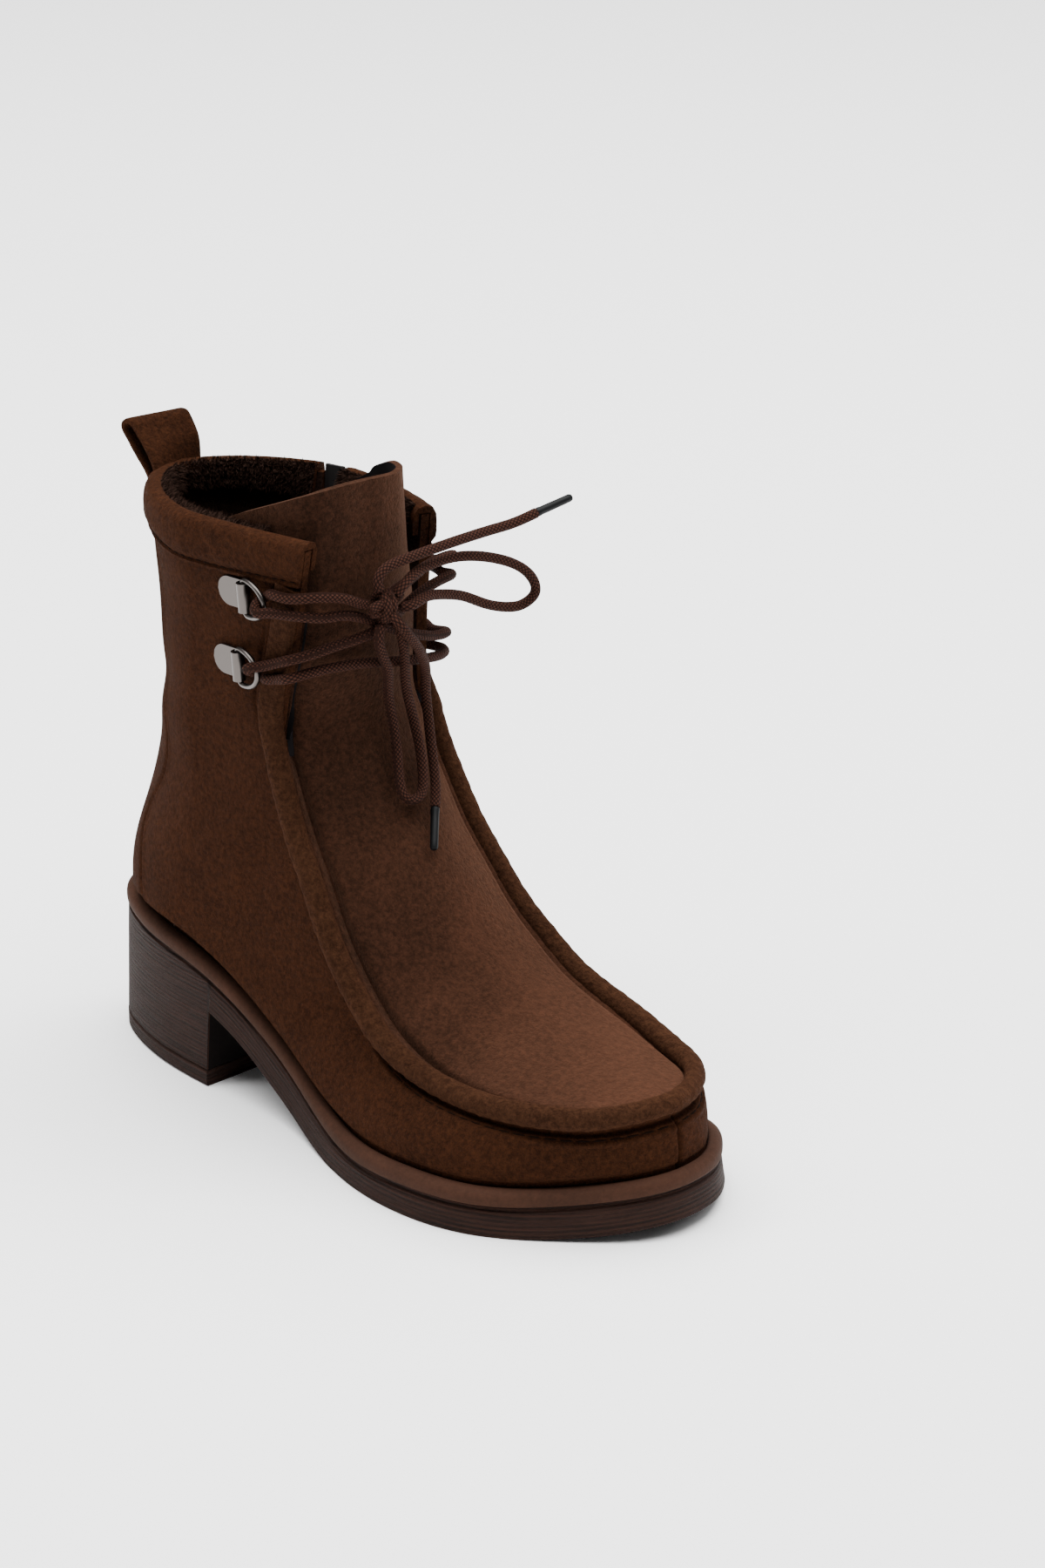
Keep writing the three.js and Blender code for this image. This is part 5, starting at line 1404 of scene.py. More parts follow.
@dataclass
class Collar(SubAssembly):
    """Padded band folded over the top edge, and the pull loop at the back."""

    zip_space: float = 1.6
    band_depths: Triple = (0.72, 0.28, 0.08)
    softness: float = 0.16
    rim_bend: Triple = (5.6, 12.5, 1.7)
    blade_seed: int = 7
    blade_width: float = 0.16
    blade_lengths: Pair = (1.8, 3.6)

    def band_plan(self) -> Array:
        """Section of the band, outwards and downwards from the wall's rim, rounded."""
        s = self.s
        gap = s.gap + 0.1
        outer = gap + s.band_thickness
        slot = -(s.wall + gap + 0.4)
        inner = slot - s.band_lining
        return np.array([
            [gap, s.band_height], [gap + 1.3, s.band_height + 0.1], [gap + 1.5, s.band_height - 0.9],
            [gap + 0.8, s.band_height - 1.7], [gap + 1.3, s.band_height - 2.5],
            [outer * 0.98, s.band_height - 3.9], [outer + 0.25, s.band_height * 0.55], [outer + 0.1, 3.0],
            [outer * 0.92, 0.2], [outer * 0.45, -2.3], [(gap + slot) / 2, -3.2], [inner * 0.75, -2.3],
            [inner * 0.98, 0.4], [inner, s.band_inside * 0.6], [inner * 0.97, s.band_inside],
            [slot, s.band_inside], [slot, -gap], [gap, -gap]])

    def band_rings(self, reach: Array, side: Side) -> Array:
        """The section at each place round the rim, with soft dents along its length.

        The band's height starts at the first of band_depths at the back, gains the second towards the
        front and loses the third at the flap's edge.
        """
        last = self.last
        rim = last.wall(0 * reach + last.s.rim_rib, reach, side)
        normal = last.wall_normal(0 * reach, reach, side)
        normal[..., 2] = 0
        normal = unit(normal)
        normal[reach < 1e-6] = (-1, 0, 0)
        drop = last.wall(0 * reach + 1, reach, side) - rim
        drop = drop / -drop[..., 2:]
        plan = self.band_plan()
        back, gain, loss = self.band_depths
        depth = back + gain * smoothstep(reach, 0.05, 0.5) - loss * smoothstep(reach, 0.6, 1)
        down = plan[None, :, 1] * np.where(plan[None, :, 1] > 0, depth[:, None], 1)
        length = arc_length(rim)[:, None]
        outer = plan[None, :, 0] > self.s.gap + 0.5
        soft = self.softness * ripple(length * 0.8 + plan[None, :, 1] * 0.5, side.value) * outer
        out = plan[None, :, 0] + soft
        return rim[:, None] + normal[:, None] * out[..., None] + drop[:, None] * down[..., None]

    def zip_reaches(self) -> Pair:
        """Where the band stops on each side of the zip, as reaches along the inner rim."""
        s = self.s
        far, seam = self.last.far(np.array(0.0), Side.INNER), self.last.seam(np.array(0.0), Side.INNER)
        width = seam[0] - far[0]
        middle = (self.last.x_at(self.last.zip_along(1.0)) - far[0]) / width
        half = (s.slider_width / 2 + self.zip_space) / width
        return middle - half, middle + half

    def bands(self) -> None:
        """The long band round the back and the short one in front of the zip."""
        low, high = self.zip_reaches()
        outer = self.band_rings(eased(np.linspace(1, 0, 120)), Side.OUTER)
        inner = self.band_rings(low * (1 - np.cos(np.linspace(0, 1, 46)[1:] * np.pi / 2)), Side.INNER)
        front = self.band_rings(np.linspace(high, 1, 46), Side.INNER)
        for name, node, rings in (("collar_long_band", "collar_band", np.concatenate([outer, inner])),
                                  ("collar_short_band", "collar_band_inner", front)):
            n, m = rings.shape[:2]
            patch = Patch.grid(rings, around=True, turned=True).capped(
                range(m), range(n * m - 1, (n - 1) * m - 1, -1))
            self.shop.piece(name, [patch], self.palette.wall, "suede", [node], merge=True)

    def band_stitches(self) -> None:
        """Thread along each band's lower edge."""
        low, high = self.zip_reaches()
        patches = []
        stretches = (
            (Side.OUTER, np.linspace(0.985, 0.01, 90)),
            (Side.INNER, np.linspace(0.01, low, 40)),
            (Side.INNER, np.linspace(high + 0.01, 0.985, 40)),
        )
        for side, reach in stretches:
            line = self.band_rings(reach, side)[:, 3]
            normal = self.last.wall_normal(0 * reach, reach, side)
            patches.append(StitchRun(2.8, 1.1, 0.24).patch(line, normal, 0.12))
        self.shop.piece("collar_thread", patches, self.palette.thread, "suede")

    def loop_faces(self) -> Array:
        """Rows of the strap's near and far face, with how far each bends round the heel and turns sideways.

        The near leg stands on the band's top and the far leg runs down behind it.
        """
        s = self.s
        z = s.seat_height + s.shaft_height - s.rim_drop
        rim = self.last.far(np.array(s.rim_rib), Side.INNER)[0]
        x = rim - 2 * s.gap - s.band_thickness - 0.3
        t, lean, rise = s.loop_thickness, s.loop_lean, s.loop_rise
        return np.array([
            [x, z - 9, x - t, z - 9, 1, 0],
            [x, z - 1, x - t, z - 1, 1, 0],
            [x - lean * 0.45, z + 5.0, x - lean * 0.45 - t, z + 5.4, 0.6, 0.4],
            [x - lean * 0.85, z + 10.4, x - lean * 0.87 - t, z + 10.8, 0.3, 0.8],
            [x - lean, z + rise, x - lean - t, z + rise + 0.4, 0.1, 1],
            [x - lean * 0.9, z + rise + 2.0, x - lean * 1.0 - t * 0.6, z + rise + 3.2, 0, 1],
            [x - lean * 0.62, z + rise + 2.4, x - lean * 0.56, z + rise + 2.4 + t, 0, 1],
            [x - lean * 0.28, z + rise + 0.4, x - lean * 0.08, z + rise + 1.6, 0.05, 0.9],
            [x + 0.8, z + 9.4, x + 0.8 + t, z + 9.8, 0.12, 0.4],
            [x + 2.6, z + 4.6, x + 2.6 + t, z + 4.9, 0.2, -0.4],
            [x + 3.2, z + 1.6, x + 3.2 + t, z + 1.6, 0.22, -0.8],
        ])

    def pull_loop(self) -> None:
        """Folded strap: its two faces as smooth curves in side view, carried across its width.

        Across it each curve bends forward round the heel as depth (|y| / reach)^power of rim_bend.
        """
        s = self.s
        faces = self.loop_faces()
        fine = smoothed_curve(faces, 1.0)
        y = np.linspace(-s.loop_width / 2, s.loop_width / 2, 27)[:, None]
        depth, reach, power = self.rim_bend
        bend = depth * (np.abs(y) / reach) ** power
        shift = bend * fine[None, :, 4] + y * s.loop_turn * fine[None, :, 5]
        edge = smoothstep(np.abs(y), s.loop_width / 2 - 1.0, s.loop_width / 2) * 0.35
        near = joined(fine[None, :, 0] + shift, y, fine[None, :, 1])
        far = joined(fine[None, :, 2] + shift, y, fine[None, :, 3])
        middle = (near + far) / 2
        near, far = mix(near, middle, edge[..., None]), mix(far, middle, edge[..., None])
        rings = np.concatenate([near, far[:, ::-1]], axis=1)
        n, m = rings.shape[:2]
        quads = [(j, j + 1, m - 2 - j, m - 1 - j) for j in range(m // 2 - 1)]
        caps = [cap for quad in quads for cap in (quad, tuple((n - 1) * m + q for q in quad[::-1]))]
        patch = Patch.grid(rings, around=True).capped(*caps)
        self.shop.piece("collar_pull_loop", [patch], self.palette.wall, "suede", ["pull_loop"], merge=True)

    def fur(self) -> None:
        """Pile on the band's inner face: a dense coat of short curved blades."""
        rng = np.random.default_rng(self.blade_seed)
        low, high = self.zip_reaches()
        roots, outs = [], []
        stretches = (
            # side, from, to, blades
            (Side.OUTER, 0.0, 0.8, 8000),
            (Side.INNER, 0.0, low, 5000),
            (Side.INNER, high, 0.97, 5000),
        )
        for side, first, end, count in stretches:
            reach = np.sort(rng.uniform(first, end, count))
            rings = self.band_rings(reach, side)
            spot = rng.uniform(10.6, 14.0, count)
            index = spot.astype(int)
            share = (spot - index)[:, None]
            rows = np.arange(count)
            roots.append(mix(rings[rows, index], rings[rows, index + 1], share))
            normal = -self.last.wall_normal(np.zeros(count), reach, side)
            normal[:, 2] = rng.uniform(0.1, 0.9, count) * (spot < 11.6) + rng.uniform(-0.4, 0.3, count)
            outs.append(unit(normal))
        root, out = np.concatenate(roots), np.concatenate(outs)
        count = len(root)
        sway = unit(rng.normal(size=(count, 3)))
        length = rng.uniform(*self.blade_lengths, count)[:, None]
        width = unit(np.cross(out, sway)) * self.blade_width
        middle = root + out * length * 0.5 + sway * 0.35
        tip = root + out * length * 0.75 + sway * 1.1
        waist = width * 0.8
        points = np.stack([root - width, root + width, middle + waist, middle - waist, tip], axis=1)
        base = np.arange(count) * 5
        quads = (base[:, None] + [0, 1, 2, 3]).tolist()
        tips = (base[:, None] + [3, 2, 4]).tolist()
        patch = Patch(points.reshape(-1, 3), [tuple(f) for f in quads + tips], np.zeros((count * 5, 2)))
        self.shop.piece("collar_pile", [patch], self.palette.pile, "lining_fabric")

    def build(self) -> None:
        """Makes the bands, their thread, the pile and the loop."""
        self.bands()
        self.band_stitches()
        self.fur()
        self.pull_loop()


TONGUE_EDGE = (
    # place, along, across, up: the tongue's top edge, in shares of the sole's length, the ball's width and
    # the shaft's height; place is -1 and 1 at the flaps' front edges
    (-1.42, 0.295, -0.316, 0.986),
    (-1.29, 0.349, -0.337, 1.024),
    (-1.18, 0.390, -0.327, 1.051),
    (-1.06, 0.430, -0.306, 1.077),
    (-0.90, 0.460, -0.265, 1.096),
    (-0.70, 0.471, -0.214, 1.103),
    (-0.48, 0.477, -0.153, 1.107),
    (-0.25, 0.480, -0.082, 1.107),
    (0.00, 0.483, -0.020, 1.107),
    (0.20, 0.480, 0.041, 1.104),
    (0.40, 0.474, 0.082, 1.104),
    (0.60, 0.458, 0.133, 1.100),
    (0.80, 0.434, 0.173, 1.096),
    (0.95, 0.406, 0.204, 1.084),
    (1.05, 0.380, 0.224, 1.064),
    (1.13, 0.368, 0.235, 1.048),
    (1.25, 0.337, 0.245, 1.019),
)


@dataclass
class Tongue(SubAssembly):
    """Apron from the toe up and, in one sheet with it, the tongue that tucks behind the flaps."""

    columns: int = 110
    wings: tuple[int, int] = (24, 16)
    tongue_rows: int = 90
    apron_rows: int = 190
    join_rib: float = 3.6
    trench_depths: Triple = (3.0, 2.8, 1.7)
    trench_places: Triple = (1.6, 3.4, 3.2)
    trench_widths: Triple = (1.8, 1.0, 0.9)
    ledge_heights: Pair = (0.25, 0.1)
    wave_height: float = 0.35
    end_rows: int = 6
    uv_pace: Pair = (16, 35)

    def top_edge(self, place: Array) -> Array:
        """Point of the tongue's top edge at each place."""
        s = self.s
        x = self.last.x_at(column_spline(TONGUE_EDGE, 0, 1)(place))
        y = column_spline(TONGUE_EDGE, 0, 2)(place) * s.ball_width
        z = column_spline(TONGUE_EDGE, 0, 3)(place) * s.shaft_height + s.seat_height
        return joined(x, y, z)

    def behind(self, rib: Array, reach: Array, side: Side, tuck: Array) -> Array:
        """Point a tuck behind the wall's outer face, at ribs from the collar down."""
        rib, reach = np.broadcast_arrays(rib, reach)
        normal = self.last.wall_normal(np.maximum(rib, 0.02), reach, side)
        return self.last.wall(np.maximum(rib, 0), reach, side) - normal * tuck[..., None]

    def tongue_rows_at(self, place: Array) -> Array:
        """Tongue from its top edge down to where the apron starts.

        Between the flaps it is the apron's own crown, sunk behind their edges, and beyond them it follows
        the walls' inner face. Towards the top it blends into straight lines up to the top edge.
        """
        s, last = self.s, self.last
        share = np.linspace(1, 0, self.tongue_rows)[:, None]
        rib = self.join_rib * (1 - share) - 0.2 * share + 0 * place[None]
        deep = (s.band_lining + s.gap) * smoothstep(-rib, -1.8, -0.6)
        tuck = (s.wall + s.gap) * smoothstep(-rib, -self.join_rib, -2.7) + deep
        across = np.clip(place, -1, 1)[None] + 0 * rib
        left = self.behind(rib, 1.0 + 0 * rib, Side.OUTER, tuck)
        right = self.behind(rib, 1.0 + 0 * rib, Side.INNER, tuck)
        crown = last.apron(np.maximum(rib, 0), 0 * rib) - (left + right) / 2
        front = mix(left, right, ((1 + across) / 2)[..., None]) + crown * (1 - across**2)[..., None]
        beyond = np.maximum(np.abs(place) - 1, 0)[None] + 0 * rib
        outer = self.behind(rib, 1 - beyond, Side.OUTER, s.wall + s.gap + deep)
        inner = self.behind(rib, 1 - beyond, Side.INNER, s.wall + s.gap + deep)
        low = np.where((place < -1)[None, :, None], outer, np.where((place > 1)[None, :, None], inner, front))
        foot = low[-1:]
        straight = foot + (self.top_edge(place)[None] - foot) * share[..., None]
        return mix(low, straight, smoothstep(share, 0.42, 0.95)[..., None])

    def apron_rows_at(self, place: Array) -> Array:
        """Apron from its join with the tongue to the toe."""
        rib = np.linspace(self.join_rib, LAST_RIB, self.apron_rows + 1)[1:-1, None]
        across = np.clip(place, -1, 1)[None] + 0 * rib
        return self.last.apron(rib + 0 * across, across)

    def relief(self, rib: Array, place: Array, width: Array) -> Array:
        """Trench beside the roll, its thin ledge, and slow waves over the sheet.

        The trench's three sizes hold beside the flaps, beside the roll and at the toe.
        """
        across = np.clip(place, -1, 1)[None] + 0 * rib
        from_seam = (1 - np.abs(place)[None]) * width + 0 * rib
        lower = smoothstep(rib, 0.4, 1.2)
        toe = smoothstep(rib, 9, 12)
        roll = smoothstep(rib, 2.6, 4.2)
        depth, place_in, wide = (
            mix(mix(flap, beside, roll), tip, toe)
            for flap, beside, tip in (self.trench_depths, self.trench_places, self.trench_widths)
        )
        trench = depth * hump(from_seam, place_in, wide)
        ledge = mix(*self.ledge_heights, toe) * roll * hump(from_seam, 6.6, 0.9)
        waves = self.wave_height * np.sin(rib * 2.1 + across * 1.3) * np.sin(across * 2.2 + 0.6 + rib * 0.35)
        return lower * (ledge - trench) + waves * np.cos(across * np.pi / 2)

    def build(self) -> None:
        """One thick sheet whose wings are kept on the tongue's rows only."""
        s, last = self.s, self.last
        middle = np.sin(np.linspace(-1, 1, self.columns) * np.pi / 2) * 0.3
        middle = middle + np.linspace(-0.7, 0.7, self.columns)
        left = np.linspace(TONGUE_EDGE[0][0], -1.01, self.wings[0])
        right = np.linspace(1.01, TONGUE_EDGE[-1][0], self.wings[1])
        place = np.concatenate([left, middle, right])
        points = np.concatenate([self.tongue_rows_at(place), self.apron_rows_at(place)])
        share = np.linspace(1, 0, self.tongue_rows)
        ribs = np.concatenate([self.join_rib * (1 - share), np.linspace(
            self.join_rib, LAST_RIB, self.apron_rows + 1)[1:-1]])
        seams = last.seam(ribs, Side.OUTER) - last.seam(ribs, Side.INNER)
        width = np.linalg.norm(seams, axis=-1)[:, None] / 2
        kept = np.ones((len(ribs) - 1, len(place) - 1), dtype=bool)
        kept[self.tongue_rows - 1:] = (np.abs(place[:-1] + place[1:]) / 2 < 1)[None]
        towards = joined(0.6, place, 0.2)
        normal = grid_normals(points, towards[None])
        normal[-self.end_rows:] = normal[-self.end_rows - 1]
        points = points + normal * self.relief(ribs[:, None] + 0 * place[None], place, width)[..., None]
        uv = joined(ribs[:, None] * self.uv_pace[0], place[None] * self.uv_pace[1])
        patch = thick_sheet(points, normal, s.tongue, uv, kept)
        self.shop.piece("upper_apron_and_tongue", [patch], self.palette.apron, "suede", ["upper", "tongue"],
                        merge=True, reverse=self.palette.reverse)


@dataclass
class LacingRings(SubAssembly):
    """Folded tabs and the D-rings that hang in them."""

    @property
    def bore(self) -> float:
        """Inner radius of the fold."""
        return self.s.ring_wire / 2 + self.s.gap

    @property
    def rise(self) -> float:
        """Height of the ring's bar over the wall."""
        return self.bore + self.s.tab_thickness + self.s.gap + 0.1

    def frame(self, side: Side, x: float, z: float) -> tuple[Array, Array]:
        """A point on the wall and its forward, up and outward unit vectors as rows."""
        point, ahead, behind = (self.last.on_wall(x + step, z, side) for step in (0.0, 1.0, -1.0))
        out = self.last.on_wall(x, z, side, 1.0) - point
        forward = unit(ahead - behind)
        up = np.cross(out, forward)
        up = up if up[2] > 0 else -up
        return point, np.stack([forward, up, out])

    def tab(self, side: Side, x: float, z: float) -> Patch:
        """Plate with a round end whose front edge curls round the ring's bar.

        The strip's middle line runs flat and then round a circle; its half width is a half circle at the
        round end and constant after it.
        """
        s = self.s
        radius = self.bore + s.tab_thickness
        flat = np.linspace(-s.tab_length, 0, 30)
        turn = np.linspace(-np.pi / 2, np.pi * 1.3, 34)[1:]
        forward = np.concatenate([flat, radius * np.cos(turn)])
        out = np.concatenate([0 * flat, radius * np.sin(turn) + radius])
        normal_f = np.concatenate([0 * flat, np.cos(turn)])
        normal_o = np.concatenate([0 * flat - 1, np.sin(turn)])
        half = s.tab_height / 2
        from_end = np.clip((forward[:30] + s.tab_length) / half, 0, 1)
        width = np.concatenate([half * np.sqrt(1 - (1 - from_end) ** 2) + 0.05, np.full(len(turn), half)])
        v = np.linspace(-1, 1, 21)
        point, axes = self.frame(side, x, z)
        local = joined(forward[:, None], width[:, None] * v[None], (out + s.gap + 0.1)[:, None])
        inward = joined(-normal_f[:, None], 0 * v[None], -normal_o[:, None])
        outer = point + local @ axes
        return thick_sheet(outer, -(inward @ axes), s.tab_thickness)

    def ring_path(self) -> Array:
        """The ring's centre line in its own plane: a straight bar, two tight bends and a wide arc."""
        s = self.s
        half, bend = s.ring_height / 2, s.ring_bend
        corner = np.linspace(np.pi, np.pi / 2, 8)
        top = joined(bend + bend * np.cos(corner), half - bend + bend * np.sin(corner))
        arc = np.linspace(np.pi / 2, -np.pi / 2, 34)[1:-1]
        wide = joined(bend + (s.ring_reach - bend) * np.cos(arc), half * np.sin(arc))
        bar = joined(np.zeros(6), np.linspace(-half + bend, half - bend, 8)[1:-1])
        return np.concatenate([top, wide, top[::-1] * (1, -1), bar])

    def build(self) -> None:
        """Makes every tab and ring."""
        s = self.s
        tilt = math.radians(s.ring_tilt)
        path = self.ring_path()
        for name, side, x, z in RINGS:
            point, axes = self.frame(side, x, z)
            local = joined(path[:, 0] * math.cos(tilt), path[:, 1], path[:, 0] * math.sin(tilt) + self.rise)
            ring = tube(point + local @ axes, s.ring_wire / 2, 14, closed=True)
            self.shop.piece(f"lacing_ring_{name}", [ring], self.palette.nickel, "nickel", [f"d_ring_{name}"],
                            merge=True)
            self.shop.piece(f"lacing_tab_{name}", [self.tab(side, x, z)], self.palette.nickel, "nickel",
                            [f"ring_tab_{name}"], merge=True, sharp=30)


@dataclass
class Lace(SubAssembly):
    """The lace through the four rings, its knot, loops, ends and aglets."""

    knot_centre: Triple = (99.8, -10.4, 180.4)
    knot_size: Triple = (7, 12, 12)
    path_step: float = 0.9
    ring_space: float = 0.25

    def ring_turn(self, index: int, over: float, under: float) -> list[list[float]]:
        """The lace's turn round a ring's arc, from over the wire to under it."""
        s = self.s
        rings = LacingRings(self.last, self.palette, self.shop)
        _, side, x, z = RINGS[index]
        point, axes = rings.frame(side, x, z)
        tilt = math.radians(s.ring_tilt)
        radius = (s.ring_wire + s.lace) / 2 + self.ring_space
        turn = np.radians(np.linspace(90, 270, 5))
        rise = np.linspace(over, under, 5)
        reach = s.ring_bend + (s.ring_reach - s.ring_bend) * np.sqrt(1 - (rise / (s.ring_height / 2)) ** 2)
        local = joined(reach * math.cos(tilt) + radius * np.cos(turn), rise,
                          rings.rise + reach * math.sin(tilt) + radius * np.sin(turn))
        return (point + local @ axes).tolist()

    def over_wall(self, side: Side, places: Sequence[Triple]) -> list[list[float]]:
        """Points over the wall, given as x, z and the lace's lift off the wall."""
        x, z, lift = np.array(places, float).T
        return self.last.on_wall(x, z, side, lift).tolist()

    def knot_exit(self, direction: Triple) -> list[list[float]]:
        """Two points where a strand leaves the knot square to its face."""
        way = unit(np.array(direction, float))
        face = np.array(self.knot_centre) + way / np.linalg.norm(way / np.array(self.knot_size) * 2)
        return [(face + way * away).tolist() for away in (2 * self.s.gap, self.s.lace)]

    def crossings(self) -> None:
        """The strands from ring to ring across the tongue."""
        first = [
            *self.knot_exit((-0.4, -1, 0.3)), [96.8, -23.5, 185.4], [95.8, -29, 187], [93, -35.6, 187.8],
            *self.over_wall(Side.OUTER, [(86, 187.2, 4.2), (79, 187, 3.8)]),
            *self.ring_turn(0, -1.5, 2.5)[::-1],
            *self.over_wall(Side.OUTER, [(78, 181.4, 6.6), (85, 181.6, 4.6)]),
            [91.4, -37, 181.4], [94.2, -31, 180.4], [95.4, -24.5, 179.9], [95.6, -15, 176.6], [95, -6, 172],
            [93.5, 4, 167], [91.5, 14, 163], [88.6, 23, 160], [84.4, 31.6, 158],
            *self.over_wall(Side.INNER, [(76, 155.6, 4.2), (69.4, 154.6, 5.6)]),
            *self.ring_turn(3, 1.5, -2.5),
            *self.over_wall(Side.INNER, [(70, 149.4, 3.8), (76, 150, 4)]),
            [83, 32, 151], [87.6, 24, 152.4], [90.2, 15, 154.4], [92, 5, 156.6], [92.6, -4, 158.6],
        ]
        second = [
            *self.knot_exit((-0.5, 1, 0.35)), [96.4, 2.6, 184.8], [95.4, 9, 186.6], [93.2, 17, 187.4],
            [90.2, 26, 186.6], [86.4, 33, 184.6],
            *self.over_wall(Side.INNER, [(79, 181.6, 4.2), (72.5, 179.6, 3.8)]),
            *self.ring_turn(2, -2.5, 1.5)[::-1],
            *self.over_wall(Side.INNER, [(73, 176, 5.8), (79, 176.8, 4.2)]),
            [85.6, 33, 178], [89.6, 25, 179], [92.4, 15, 178.8], [94.8, 6, 177.6], [97.2, -3, 175.4],
            [97.6, -12, 172.4], [94.8, -19.8, 170.2], [92, -25.7, 168.9], [89.8, -32, 167.6],
            [85.6, -37.6, 166],
            *self.over_wall(Side.OUTER, [(78, 163.4, 4.4), (73, 161.6, 5.6)]),
            *self.ring_turn(1, 3, -1.5),
            *self.over_wall(Side.OUTER, [(73, 156.6, 3.8), (78.6, 158, 4)]),
            [84.4, -38, 159.4], [87.6, -33, 160.6], [89.8, -27, 161.2], [91.4, -20, 161],
            [92.4, -12, 160.2], [92.6, -4, 158.6],
        ]
        whole = np.array(first + second[::-1][1:], float)
        path = smoothed_curve(whole, self.path_step)
        self.shop.piece("lace_through_rings", [tube(path, self.s.lace / 2)], self.palette.lace,
                        "lace_cord", ["lace_crossings"])

    def cord(self, name: str, node: str, points: list[list[float]], far_end: str,
             with_pieces: Sequence[bpy.types.Object] = ()) -> None:
        """A free stretch of the lace; its length goes to the log."""
        path = smoothed_curve(np.array(points, float), self.path_step)
        strand = tube(path, self.s.lace / 2)
        piece = self.shop.piece(name, [strand], self.palette.lace, "lace_cord", [node])
        self.s.lace * METRE
        LOG.info("%s is %.0f mm long", name, arc_length(path)[-1])

    def aglet(self, name: str, node: str, points: list[list[float]]) -> bpy.types.Object:
        """A straight sleeve with a crimped mouth that carries on from a cord's end."""
        s = self.s
        end = np.array(points[-1], float)
        way = unit(end - np.array(points[-2], float))
        t = np.array([0, 0.4, 1.2, 2.0, 4, 8, 12, s.aglet_length - 0.8, s.aglet_length - 0.2, s.aglet_length])
        radius = s.aglet / 2 * np.array([0.9, 1.0, 1.02, 0.94, 0.94, 0.92, 0.9, 0.88, 0.72, 0.5])
        path = end + way * (s.gap + t)[:, None]
        return self.shop.piece(name, [tube(path, radius, 16)], self.palette.aglet, "aglet_black", [node])

    def knot(self) -> None:
        """Knot: a cross bundle of two passes with the lace wrapped once and a half round its middle."""
        centre = np.array(self.knot_centre)
        radius = self.s.lace / 2
        turn = np.linspace(-0.3 * np.pi, 2.5 * np.pi, 40)
        coil = [3.5 * np.cos(turn) - 0.4, 1.1 * turn / np.pi - 1.4, 4.1 * np.sin(turn)]
        wrap = centre + np.stack(coil, axis=-1)
        t = np.linspace(-1, 1, 24)
        passes = [
            centre + joined(0.9 + 0.9 * np.cos(t * 2), 6.2 * t, 1.9 + 1.3 * t**3),
            centre + joined(0.4 + 0.8 * np.cos(t * 2), 5.8 * t, -1.8 - 0.9 * np.sin(t * 2)),
            centre + joined(1.4 + 0.6 * t, -0.5 + 1.2 * t, 5.2 * t),
        ]
        tubes = [tube(smoothed_curve(path, 0.8), radius * 0.98) for path in [wrap, *passes]]
        self.shop.piece("lace_bow_knot", tubes, self.palette.lace, "lace_cord", ["lace_knot"])

    def build(self) -> None:
        """Makes the cords first, then what is on them."""
        hanging_loop = [
            *self.knot_exit((0.3, 0.55, -1)), [100.8, -3.4, 167], [97.8, 0, 160], [93, 4.9, 149.4],
            [89.8, 10.8, 135.5], [93.4, 10.6, 124.6], [98.6, 6.6, 115.1], [100.6, 3, 112.6],
            [100.6, -0.6, 112.4], [99, -2.8, 114.6], [93.8, 0, 124.6], [90.4, 1.6, 135], [91.6, -1.6, 147],
            [97.2, -7, 158], [100, -12.4, 166], *self.knot_exit((0.2, -0.5, -1))[::-1],
        ]
        side_loop = [
            *self.knot_exit((0.5, 0.8, 1)), [101.8, 1, 189.2], [99.8, 11, 189.8], [99.8, 22, 189.6],
            [101, 37, 186], [102.6, 48, 180.6], [103.4, 53, 175.2], [103, 54, 170.4], [101, 51, 167.1],
            [100, 46, 166.9], [99, 36, 170], [98.8, 26, 175], [100, 15, 178.6], [102.6, 4.4, 180.6],
            *self.knot_exit((0.6, 1, -0.05))[::-1],
        ]
        hanging_end = [
            *self.knot_exit((1, 0, -0.55)), [106, -6.4, 172], [102.8, 1, 165], [98.6, 7.4, 158.4],
            [94.4, 12.4, 152.2], [90, 16.6, 143], [88.8, 18.7, 133.1], [92.6, 16.6, 122.7],
            [98.6, 12.3, 113.5], [102.6, 8.1, 108],
        ]
        side_end = [
            *self.knot_exit((0, -0.3, 1)), [100, -11, 192.6], [100.6, -6.4, 194.2], [101.6, 2, 195.2],
            [102.6, 16, 196.2], [103, 34, 196.6], [103.8, 44, 197], [104.6, 53, 198.4],
        ]
        hanging_tip = self.aglet("aglet_hanging", "aglet_down", hanging_end)
        side_tip = self.aglet("aglet_at_side", "aglet_side", side_end)
        self.cord("lace_hanging_loop", "lace_loop_down", hanging_loop, "object")
        self.cord("lace_side_loop", "lace_loop_side", side_loop, "object")
        self.cord("lace_hanging_end", "lace_end_down", hanging_end, "fitting", [hanging_tip])
        self.cord("lace_side_end", "lace_end_side", side_end, "fitting", [side_tip])
        self.crossings()
        self.knot()


